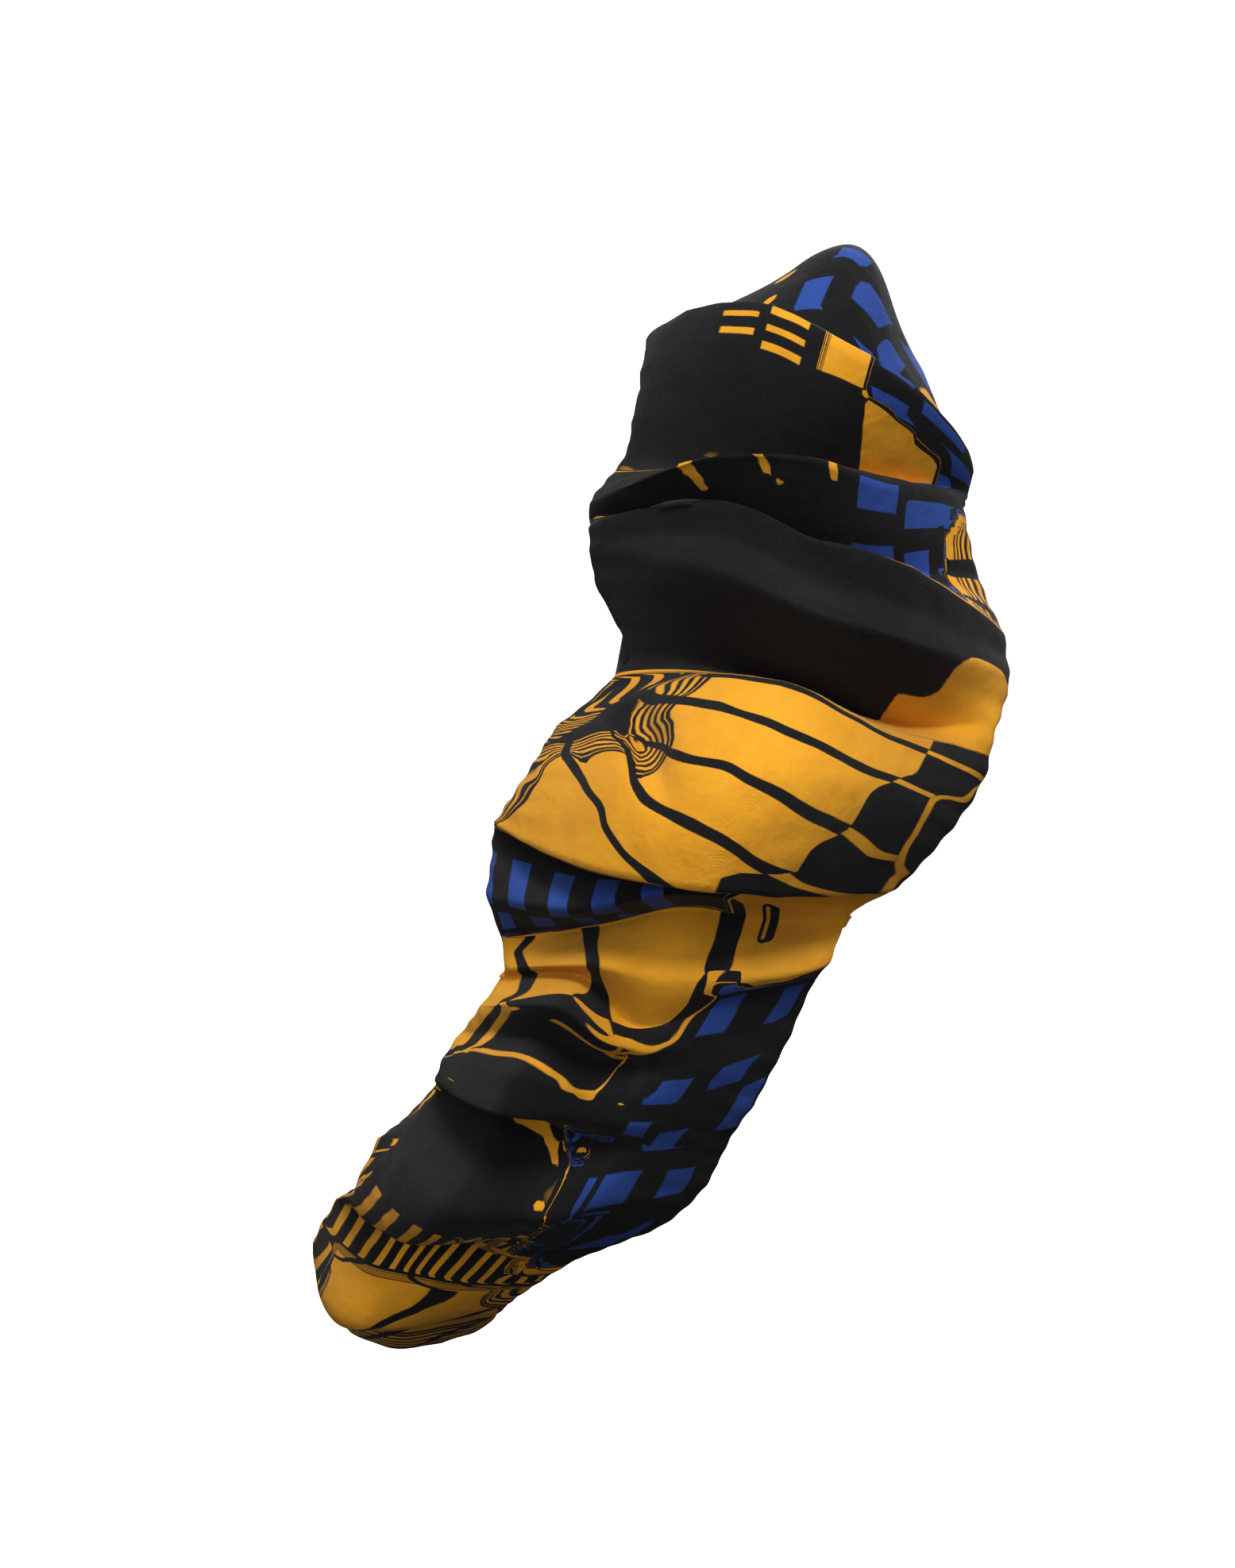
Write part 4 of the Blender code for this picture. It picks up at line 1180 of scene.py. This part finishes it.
@dataclass
class PuffSleeve:
    """The wide cotton print sleeve, gathered into deep puffs that run right round the head."""

    ring: HeadRing
    finish: WaxPrint = WaxPrint()
    wall: float = 1.2
    tuck_depth: float = 9.0
    tuck_share: float = 0.1
    folds_evened: int = 5
    near_steps: int = 15
    far_steps: int = 8
    tuck_steps: int = 3
    span_steps: int = 18
    top_folds: int = 4
    near_only: tuple[str, ...] = ("tick valley", "tick rim", "line rim", "line groove")
    far_setback: float = 5.0
    far_reach: float = 46.0
    far_shift: float = 4.0
    far_shift_span: float = 20.0
    far_lift: float = 0.1
    far_lift_phase: float = 2.3
    far_turn: float = 7.0
    dent_full_height: float = 20.0
    wander_size: float = 26.0
    gather_depth: float = 0.22
    gather_pitch: float = 6.4
    gather_sway: float = 2.2
    gather_reach: float = 9.0
    broad_depth: float = 0.8
    broad_size: float = 24.0
    ridge_depth: float = 0.7
    ridge_size: float = 11.0
    crease_full_height: float = 12.0
    seeds: tuple[int, int, int] = (5, 11, 23)
    cut_length: float = 1.18
    cut_width: float = 0.11

    def far_fold(self, fold: Fold, order: int) -> Fold:
        """The fold line's fellow on the wearer's left side.

        Args:
            fold: The fold on the right side.
            order: Its place among the folds that are repeated.

        Returns:
            The fold on the left side.
        """
        setback = self.far_setback * math.sin(2 * math.pi * fold.along3 / self.ring.round)
        lift = 1.0 + self.far_lift * math.sin(self.far_lift_phase * order)
        along = [
            self.ring.round - value - self.far_shift * math.sin(value / self.far_shift_span)
            for value in fold[3:8]
        ]
        high = [value * lift for value in fold[8:13]]
        front = min(fold.front, self.far_reach) - setback
        return Fold(fold.name, fold.back - setback, front, *along, *high, fold.sharp)

    def mirrored(self) -> list[int]:
        """The near folds that the left side repeats.

        Returns:
            Their numbers, rising.
        """
        return [
            number
            for number, fold in enumerate(NEAR_FOLDS)
            if number >= self.top_folds and fold.name not in self.near_only
        ]

    def folds(self) -> list[Fold]:
        """Every fold line, right round the head.

        Returns:
            The near ones, the one at the nape and the far ones, in order.
        """
        middle = [self.ring.round / 2] * 5
        nape = Fold("nape ridge", -33, 18, *middle, 15, 33, 33, 25, 12, 0.3)
        far = [self.far_fold(NEAR_FOLDS[number], order) for order, number in enumerate(self.mirrored())]
        return NEAR_FOLDS + [nape] + far[::-1]

    def control_lines(self) -> np.ndarray:
        """The points that the cloth is drawn through.

        Returns:
            Seven points for every fold line, the first and last turned under the edges.
        """
        folds = self.folds()
        lines = np.array([np.column_stack([f[3:8], np.linspace(f.back, f.front, 5), f[8:13]]) for f in folds])
        count = len(lines)
        turned = []
        for edge, inward in ((0, self.tuck_depth), (4, -self.tuck_depth)):
            rise = lines[:, edge, 0]
            three_rounds = np.concatenate([rise - self.ring.round, rise, rise + self.ring.round])
            evened = np.convolve(three_rounds, np.full(self.folds_evened, 1 / self.folds_evened), "same")
            under = lines[:, edge, 1] + inward
            turned.append(np.column_stack([evened[count : 2 * count], under, np.zeros(count)])[:, None])
        return np.concatenate([turned[0], lines, turned[1]], axis=1)

    def pressed(self, dense: np.ndarray) -> np.ndarray:
        """Presses the dents into the cloth.

        Args:
            dense: Points as along, across and height.

        Returns:
            The same points with the dents taken out of their heights.
        """
        high = dense[..., 2].copy()
        for dent in DENTS:
            turn = math.radians(dent.turn)
            along = dense[..., 0] - dent.along
            across = dense[..., 1] - dent.across
            lengthways = (along * math.cos(turn) + across * math.sin(turn)) / dent.half_length
            sideways = (across * math.cos(turn) - along * math.sin(turn)) / dent.half_width
            raised = np.clip(high / self.dent_full_height, 0.0, 1.0)
            high -= dent.depth * raised * np.exp(-(lengthways**2) - sideways**2)
        return np.concatenate([dense[..., :2], high[..., None]], axis=-1)

    def station_steps(self) -> list[int]:
        """How many stations follow each fold line."""
        near = len(NEAR_FOLDS) + 1
        return [self.near_steps] * near + [self.far_steps] * len(self.mirrored())

    def stations(self) -> np.ndarray:
        """Where each station lies, counted in folds."""
        return np.concatenate([i + np.arange(n) / n for i, n in enumerate(self.station_steps())])

    def column_steps(self) -> list[int]:
        """How many columns follow each of a fold line's points but the last."""
        return [self.tuck_steps] + [self.span_steps] * 4 + [self.tuck_steps]

    def shares(self) -> np.ndarray:
        """Where each column lies across the sleeve.

        Returns:
            A share for each column, 0 at the back edge and 1 at the face edge.
        """
        knots = np.array([-self.tuck_share, 0.0, 0.25, 0.5, 0.75, 1.0, 1.0 + self.tuck_share])
        inner = [
            knots[i] + (knots[i + 1] - knots[i]) * np.arange(count) / count
            for i, count in enumerate(self.column_steps())
        ]
        return np.concatenate(inner + [knots[-1:]])

    def dense(self) -> np.ndarray:
        """The smooth folds, before the small creases.

        Returns:
            Stations by columns of points as along, across and height.
        """
        lines = self.control_lines()
        turn = np.array([self.ring.round, 0.0, 0.0])
        padded = np.concatenate([lines[-1:] - turn, lines, lines[:2] + turn])
        sharp = np.array([fold.sharp for fold in self.folds()])
        sharp = np.concatenate([sharp[-1:], sharp, sharp[:2]])
        rounds = smooth_through(padded, self.station_steps(), sharp).transpose(1, 0, 2)
        before = 2 * rounds[:1] - rounds[1:2]
        after = 2 * rounds[-1:] - rounds[-2:-1]
        across = smooth_through(np.concatenate([before, rounds, after]), self.column_steps())
        return self.pressed(np.concatenate([across, rounds[-1:]]).transpose(1, 0, 2))

    def print_rows(self) -> dict[float, np.ndarray]:
        """How the print lies along each row of the table.

        Returns:
            The turn and radius at every column, by the row's number of folds.
        """
        shares = self.shares()
        inside = np.clip(shares, 0.0, 1.0)
        made = {}
        for at, stops in PRINT_ROWS.items():
            percent, spots = np.split(np.array(stops, float), [1], axis=1)
            turned_under = (shares - inside)[:, None] * (spots[-1] - spots[0])
            made[at] = steady(percent[:, 0] / 100, spots, inside) + turned_under
        return made

    def print_map(self) -> np.ndarray:
        """How the print lies on the whole sleeve; the left side repeats the right side's rows.

        Returns:
            The turn and radius at every station and column, with the first station again at the end.
        """
        rows = self.print_rows()
        mirrored = self.mirrored()
        near_count, far_count = len(NEAR_FOLDS), len(mirrored)
        far_at = near_count + far_count - np.arange(far_count)
        far_rows: dict[float, np.ndarray] = {}
        for at, values in rows.items():
            if self.top_folds <= at < near_count:
                place = float(np.interp(at, mirrored, far_at))
                far_rows.setdefault(place, values + np.array([self.far_turn, 0.0]))
        rows.update(sorted(far_rows.items(), key=lambda item: item[0]))
        rows[near_count + 1 + far_count] = rows[0]
        knots = np.array(list(rows), float)
        values = np.array(list(rows.values())).reshape(len(rows), -1)
        at = np.append(self.stations(), knots[-1])
        return steady(knots, values, at).reshape(len(at), -1, 2)

    def creased(self, points: np.ndarray, dense: np.ndarray) -> np.ndarray:
        """The points moved in or out by the small creases of handled cotton.

        Args:
            points: The smooth points in millimetres.
            dense: The same points as along, across and height.

        Returns:
            The creased points in millimetres.
        """
        back = dense[:, self.tuck_steps, 1][:, None]
        front = dense[:, -self.tuck_steps - 1, 1][:, None]
        inset = np.clip(np.minimum(dense[..., 1] - back, front - dense[..., 1]), 0.0, None)
        wander_seed, broad_seed, ridge_seed = self.seeds
        wander = self.gather_sway * cloud(points, self.wander_size, wander_seed)
        gathers = np.sin(2 * math.pi * dense[..., 0] / self.gather_pitch + wander)
        gathers *= self.gather_depth * np.exp(-inset / self.gather_reach)
        broad = self.broad_depth * cloud(points, self.broad_size, broad_seed)
        ridged = self.ridge_depth * (0.5 - np.abs(cloud(points, self.ridge_size, ridge_seed)))
        lifted = np.clip(dense[..., 2] / self.crease_full_height, 0.0, 1.0)
        rise = (gathers + broad + ridged) * lifted
        return points + grid_normals(points) * rise[..., None]

    def build(self) -> bpy.types.Object:
        """Makes the sleeve.

        Returns:
            The finished object, riding on the frame in place of the plain solid.
        """
        dense = self.dense()
        points = self.ring.place(dense[..., 0], dense[..., 1], dense[..., 2])
        points = self.creased(points, dense)
        mesh = looped_mesh("puffs", points, {"print": self.print_map(), "weave": arc_map(points)})
        piece = thickened("printed_puffs", mesh, self.wall)
        piece.data.materials.append(self.finish.material())
        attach(piece, "root")
        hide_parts("puff_sleeve")
        return piece


@dataclass
class InnerBand:
    """The plain band that lies on the hair and carries the sleeve, drawn in by the elastic inside it."""

    ring: HeadRing
    finish: PlainCotton = PlainCotton()
    wall: float = 2.0
    gap: float = 0.4
    half_top: float = 34.0
    half_nape: float = 20.0
    stations: int = 540
    columns: int = 30
    ruche_pitch: float = 5.2
    ruche_depth: float = 0.5
    ruche_sway: float = 1.1
    sway_across: float = 9.0
    sway_along: float = 17.0
    cut_length: float = 0.72
    cut_width: float = 0.056

    def half_width(self, along: np.ndarray) -> np.ndarray:
        """Half the band's width at each place along it."""
        share = (1 - np.cos(2 * math.pi * along / self.ring.round)) / 2
        return self.half_top + (self.half_nape - self.half_top) * share

    def surface(self, along: np.ndarray, across: np.ndarray, below: float) -> np.ndarray:
        """Points of the band, its ruches counted in.

        Args:
            along: Millimetres along the ring from the top centre.
            across: Millimetres across the band, positive towards the face.
            below: How far below the band's top face they lie, in millimetres.

        Returns:
            The points in millimetres.
        """
        count = round(self.ring.round / self.ruche_pitch)
        phase = 2 * math.pi * count * along / self.ring.round
        sway = self.ruche_sway * np.sin(across / self.sway_across + along / self.sway_along)
        dip = self.ruche_depth * (0.5 - 0.5 * np.sin(phase + sway))
        return self.ring.place(along, across, -self.gap - below - dip)

    def build(self) -> bpy.types.Object:
        """Makes the band.

        Returns:
            The finished object, riding on the frame in place of the plain solid.
        """
        line = np.linspace(0.0, self.ring.round, self.stations, endpoint=False)
        across = self.half_width(line)[:, None] * np.linspace(-1.0, 1.0, self.columns + 1)[None, :]
        along = np.broadcast_to(line[:, None], across.shape)
        points = self.surface(along, across, 0.0)
        mesh = looped_mesh("band", points, {"weave": arc_map(points)})
        piece = thickened("ruched_band", mesh, self.wall - self.ruche_depth)
        piece.data.materials.append(self.finish.material())
        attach(piece, "root")
        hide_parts("inner_band")
        return piece


@dataclass(frozen=True)
class SewingThread:
    """Waxed black polyester thread, a little glossier than the cloth."""

    name: str = "sewing_thread_black"
    colour: Colour = (0.020, 0.020, 0.022, 1.0)
    worn: Colour = (0.055, 0.055, 0.060, 1.0)
    roughness: float = 0.55
    specular: float = 0.5
    sheen: float = 0.2
    fibres: Grain = Grain(3400.0, 2.0, 0.6)
    fibre_height: float = 0.00005

    def material(self) -> bpy.types.Material:
        """Makes the material.

        Returns:
            The finished material.
        """
        made, w = painted(self.name)
        fibres = w.noise(self.fibres)
        shade = w.colour(fibres, self.colour, self.worn)
        w.dress(shade, w.bump(fibres, self.fibre_height), self.roughness, self.specular, self.sheen)
        return made


@dataclass
class Stitching:
    """The rows of stitches that hold the elastic in the inner band, on the side that lies on the hair."""

    band: InnerBand
    finish: SewingThread = SewingThread()
    inset: float = 3.5
    pitch: float = 3.2
    length: float = 2.9
    thickness: float = 0.55
    slant: float = math.radians(38.0)
    points_round: int = 480
    sides: int = 8
    rings: int = 6

    def path(self, name: str, across_share: float, inset: float) -> bpy.types.Object:
        """The line that a row of stitches follows, on the head side of the band.

        Args:
            name: The object's name.
            across_share: The row's place across the band, -1 at its back edge and 1 at its face edge.
            inset: How far in from there it lies, in millimetres.

        Returns:
            A closed line of edges that carries the way out of the cloth at each point.
        """
        along = np.linspace(0.0, self.band.ring.round, self.points_round, endpoint=False)
        across = across_share * (self.band.half_width(along) - inset)
        below = self.band.wall - self.band.ruche_depth
        points = self.band.surface(along, across, below)
        deeper = self.band.surface(along, across, below + 1.0)
        out = deeper - points
        out /= np.linalg.norm(out, axis=-1, keepdims=True)
        mesh = bpy.data.meshes.new(name)
        joins = [(i, (i + 1) % self.points_round) for i in range(self.points_round)]
        mesh.from_pydata((points * MM).tolist(), joins, [])
        layer = mesh.attributes.new("outward", "FLOAT_VECTOR", "POINT")
        layer.data.foreach_set("vector", out.reshape(-1).astype(np.float32))
        made = bpy.data.objects.new(name, mesh)
        bpy.context.scene.collection.objects.link(made)
        return made

    def tree(self, kind: Thread, material: bpy.types.Material) -> bpy.types.NodeTree:
        """The node tree that lays stitches along a line.

        Args:
            kind: How the stitches run; zigzag stitches lean to one side and the other by turns.
            material: The thread.

        Returns:
            The tree, with its sizes as named inputs.
        """
        made = bpy.data.node_groups.new("stitches_" + kind.value, "GeometryNodeTree")
        made.interface.new_socket("Line", in_out="INPUT", socket_type="NodeSocketGeometry")
        for title in ("Pitch", "Length", "Thickness", "Slant"):
            made.interface.new_socket(title, in_out="INPUT", socket_type="NodeSocketFloat")
        made.interface.new_socket("Stitches", in_out="OUTPUT", socket_type="NodeSocketGeometry")
        w = Wiring(made)
        given = w.add("NodeGroupInput").outputs
        result = w.add("NodeGroupOutput")
        curve = w.add("GeometryNodeMeshToCurve", {"Mesh": given["Line"]}).outputs["Curve"]
        spacing = {"Curve": curve, "Length": given["Pitch"]}
        spaced = w.add("GeometryNodeResampleCurve", spacing, mode="LENGTH").outputs["Curve"]
        outward = w.add("GeometryNodeInputNamedAttribute", {"Name": "outward"}, data_type="FLOAT_VECTOR")
        tangent = w.add("GeometryNodeInputTangent").outputs["Tangent"]
        ways = {"Primary Axis": outward.outputs["Attribute"], "Secondary Axis": tangent}
        axes = w.add("FunctionNodeAxesToRotation", ways, primary_axis="Z", secondary_axis="X")
        turning = {"Rotation": axes.outputs["Rotation"], "Rotate By": self.lean(w, kind, given["Slant"])}
        turned = w.add("FunctionNodeRotateRotation", turning, rotation_space="LOCAL").outputs["Rotation"]
        ball = {"Segments": self.sides, "Rings": self.rings, "Radius": 0.5}
        bead = w.add("GeometryNodeMeshUVSphere", ball).outputs["Mesh"]
        sides = {0: given["Length"], 1: given["Thickness"], 2: given["Thickness"]}
        size = w.add("ShaderNodeCombineXYZ", sides).outputs[0]
        beads = {"Points": spaced, "Instance": bead, "Rotation": turned, "Scale": size}
        laid = w.add("GeometryNodeInstanceOnPoints", beads).outputs["Instances"]
        real = w.add("GeometryNodeRealizeInstances", {"Geometry": laid}).outputs["Geometry"]
        dressed = w.add("GeometryNodeSetMaterial", {"Geometry": real, "Material": material})
        w.feed(result.inputs["Stitches"], dressed.outputs["Geometry"])
        return made

    @staticmethod
    def lean(w: Wiring, kind: Thread, slant: Socket) -> Socket:
        """The turn of each stitch about the way out of the cloth.

        Args:
            w: The wiring of the tree that it is made in.
            kind: How the stitches run.
            slant: The turn of a zigzag stitch.

        Returns:
            A rotation for each stitch.
        """
        flip, first = (-2.0, 1.0) if kind is Thread.ZIGZAG else (0.0, 0.0)
        parity = w.math("MODULO", w.add("GeometryNodeInputIndex").outputs[0], 2.0)
        side = w.add("ShaderNodeMath", {0: parity, 1: flip, 2: first}, operation="MULTIPLY_ADD").outputs[0]
        turn = w.math("MULTIPLY", side, slant)
        about = {"Axis": (0.0, 0.0, 1.0), "Angle": turn}
        return w.add("FunctionNodeAxisAngleToRotation", about).outputs["Rotation"]

    def row(
        self, name: str, kind: Thread, thread: bpy.types.Material, across_share: float, inset: float
    ) -> bpy.types.Object:
        """Lays one row of stitches.

        Args:
            name: The finished piece's name.
            kind: How the stitches run.
            thread: The thread's material.
            across_share: The row's place across the band, -1 at its back edge and 1 at its face edge.
            inset: How far in from there it lies, in millimetres.

        Returns:
            The finished object, riding on the frame.
        """
        line = self.path(name + "_line", across_share, inset)
        tree = self.tree(kind, thread)
        modifier = line.modifiers.new("stitches", "NODES")
        modifier.node_group = tree
        sizes = {
            "Pitch": self.pitch * MM,
            "Length": self.length * MM,
            "Thickness": self.thickness * MM,
            "Slant": self.slant,
        }
        for socket in tree.interface.items_tree:
            if socket.name in sizes:
                modifier[socket.identifier] = sizes[socket.name]
        piece = baked(line, name)
        piece.data.shade_smooth()
        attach(piece, "root")
        return piece

    def build(self) -> list[bpy.types.Object]:
        """Makes a zigzag row along each edge of the band and a running row beside it.

        Returns:
            The four finished rows.
        """
        thread = self.finish.material()
        return [
            self.row("zigzag_back", Thread.ZIGZAG, thread, -1.0, self.inset),
            self.row("zigzag_face", Thread.ZIGZAG, thread, 1.0, self.inset),
            self.row("running_back", Thread.RUNNING, thread, -1.0, 2 * self.inset),
            self.row("running_face", Thread.RUNNING, thread, 1.0, 2 * self.inset),
        ]


@dataclass
class Studio:
    """The pale floor that turns up into a wall all round, the soft lights and the camera."""

    floor_height: float = -0.27
    floor_radius: float = 2.4
    sweep: float = 1.2
    wall_top: float = 3.6
    sweep_steps: int = 12
    sides: int = 96
    floor_paint: Colour = (0.9, 0.9, 0.9, 1.0)
    floor_roughness: float = 0.95
    floor_glow: float = 0.85
    white: Colour = (1.0, 1.0, 1.0, 1.0)
    lamps: tuple[Lamp, ...] = (
        Lamp("key", (-1.25, -0.35, 1.45), 0.6, 27.5),
        Lamp("fill", (-1.7, 0.2, 0.3), 1.2, 8.0),
        Lamp("far", (1.5, -0.4, 1.1), 0.9, 24.0),
    )
    distance: float = 1.1
    azimuth: float = math.radians(276.0)
    elevation: float = math.radians(5.0)
    scale: float = 4600.0
    picture: tuple[float, float] = (1555.0, 1975.0)
    origin_at: tuple[float, float] = (780.0, 1055.0)
    sensor: float = 36.0
    sky_start: float = -0.5
    sky_end: float = 0.9
    sky_low: float = 0.05
    sky_high: float = 0.62

    def floor(self) -> bpy.types.Object:
        """Makes the floor and the wall that it turns up into, in one sweep.

        Returns:
            The finished object.
        """
        profile = [(0.0, self.floor_height), (self.floor_radius, self.floor_height)]
        for step in range(1, self.sweep_steps + 1):
            turn = math.pi / 2 * step / self.sweep_steps
            out = self.floor_radius + self.sweep * math.sin(turn)
            profile.append((out, self.floor_height + self.sweep * (1 - math.cos(turn))))
        profile.append((profile[-1][0], self.wall_top))
        points, faces = [(0.0, 0.0, self.floor_height)], []
        for out, high in profile[1:]:
            for side in range(self.sides):
                turn = 2 * math.pi * side / self.sides
                points.append((out * math.cos(turn), out * math.sin(turn), high))
        for side in range(self.sides):
            following = (side + 1) % self.sides
            faces.append((0, 1 + side, 1 + following))
            for ring in range(len(profile) - 2):
                low, high = 1 + ring * self.sides, 1 + (ring + 1) * self.sides
                faces.append((low + side, high + side, high + following, low + following))
        mesh = bpy.data.meshes.new("floor")
        mesh.from_pydata(points, [], faces)
        mesh.shade_smooth()
        paint, w = painted("floor_white")
        shader = paint.node_tree.nodes["Principled BSDF"].inputs
        w.feed(shader["Base Color"], self.floor_paint)
        w.feed(shader["Roughness"], self.floor_roughness)
        w.feed(shader["Emission Color"], self.white)
        w.feed(shader["Emission Strength"], self.floor_glow)
        mesh.materials.append(paint)
        made = bpy.data.objects.new("floor", mesh)
        made.visible_diffuse = False
        made.visible_glossy = False
        bpy.context.scene.collection.objects.link(made)
        return made

    @staticmethod
    def light(lamp: Lamp) -> bpy.types.Object:
        """Sets up a lamp that faces the band.

        Args:
            lamp: The lamp's sizes.

        Returns:
            The light.
        """
        area = bpy.data.lights.new(lamp.name, "AREA")
        area.size = lamp.side
        area.energy = lamp.power
        made = bpy.data.objects.new(lamp.name, area)
        made.location = lamp.spot
        made.rotation_euler = (-Vector(lamp.spot)).to_track_quat("-Z", "Y").to_euler()
        bpy.context.scene.collection.objects.link(made)
        return made

    def camera(self) -> bpy.types.Object:
        """Sets up the camera at the picture's viewing angle.

        Returns:
            The camera.
        """
        back = Vector(
            (
                math.sin(self.azimuth) * math.cos(self.elevation),
                -math.cos(self.azimuth) * math.cos(self.elevation),
                math.sin(self.elevation),
            )
        )
        right = (-back).cross(Vector((0.0, 0.0, 1.0))).normalized()
        up = right.cross(-back)
        target = up * ((self.origin_at[1] - self.picture[1] / 2) / self.scale)
        target -= right * ((self.origin_at[0] - self.picture[0] / 2) / self.scale)
        lens = bpy.data.cameras.new("camera")
        lens.sensor_width = self.sensor
        lens.lens = self.sensor * self.distance * self.scale / self.picture[1]
        lens.clip_end = 50.0
        made = bpy.data.objects.new("camera", lens)
        made.location = target + back * self.distance
        made.rotation_euler = back.to_track_quat("Z", "Y").to_euler()
        bpy.context.scene.collection.objects.link(made)
        bpy.context.scene.camera = made
        return made

    def build(self) -> None:
        """Sets up the floor, the lights, the sky and the camera."""
        self.floor()
        for lamp in self.lamps:
            self.light(lamp)
        self.sky()
        bpy.context.scene.view_settings.view_transform = "Standard"
        self.camera()

    def sky(self) -> None:
        """A soft white sky that fades to dusk below the band."""
        world = bpy.data.worlds.new("sky")
        world.use_nodes = True
        w = Wiring(world.node_tree)
        place = w.add("ShaderNodeTexCoord").outputs["Generated"]
        up = w.add("ShaderNodeSeparateXYZ", {0: place}).outputs[2]
        inputs = {
            "Value": up,
            "From Min": self.sky_start,
            "From Max": self.sky_end,
            "To Min": self.sky_low,
            "To Max": self.sky_high,
        }
        fade = w.add("ShaderNodeMapRange", inputs).outputs[0]
        background = world.node_tree.nodes["Background"].inputs
        w.feed(background["Strength"], fade)
        w.feed(background["Color"], self.white)
        bpy.context.scene.world = world


def report(piece: bpy.types.Object) -> None:
    """Logs a finished piece's name, size and triangles.

    Args:
        piece: The piece.
    """
    piece.data.calc_loop_triangles()
    size = " x ".join(f"{length * 1000:.0f}" for length in piece.dimensions)
    LOG.info("%s: %s mm, %d triangles", piece.name, size, len(piece.data.loop_triangles))


def main() -> None:
    """Builds every piece in order and sets up the studio."""
    logging.basicConfig(level=logging.INFO, format="%(name)s: %(message)s")
    ring = HeadRing()
    band = InnerBand(ring)
    report(band.build())
    for row in Stitching(band).build():
        report(row)
    report(PuffSleeve(ring).build())
    Studio().build()


if __name__ == "__main__":
    main()
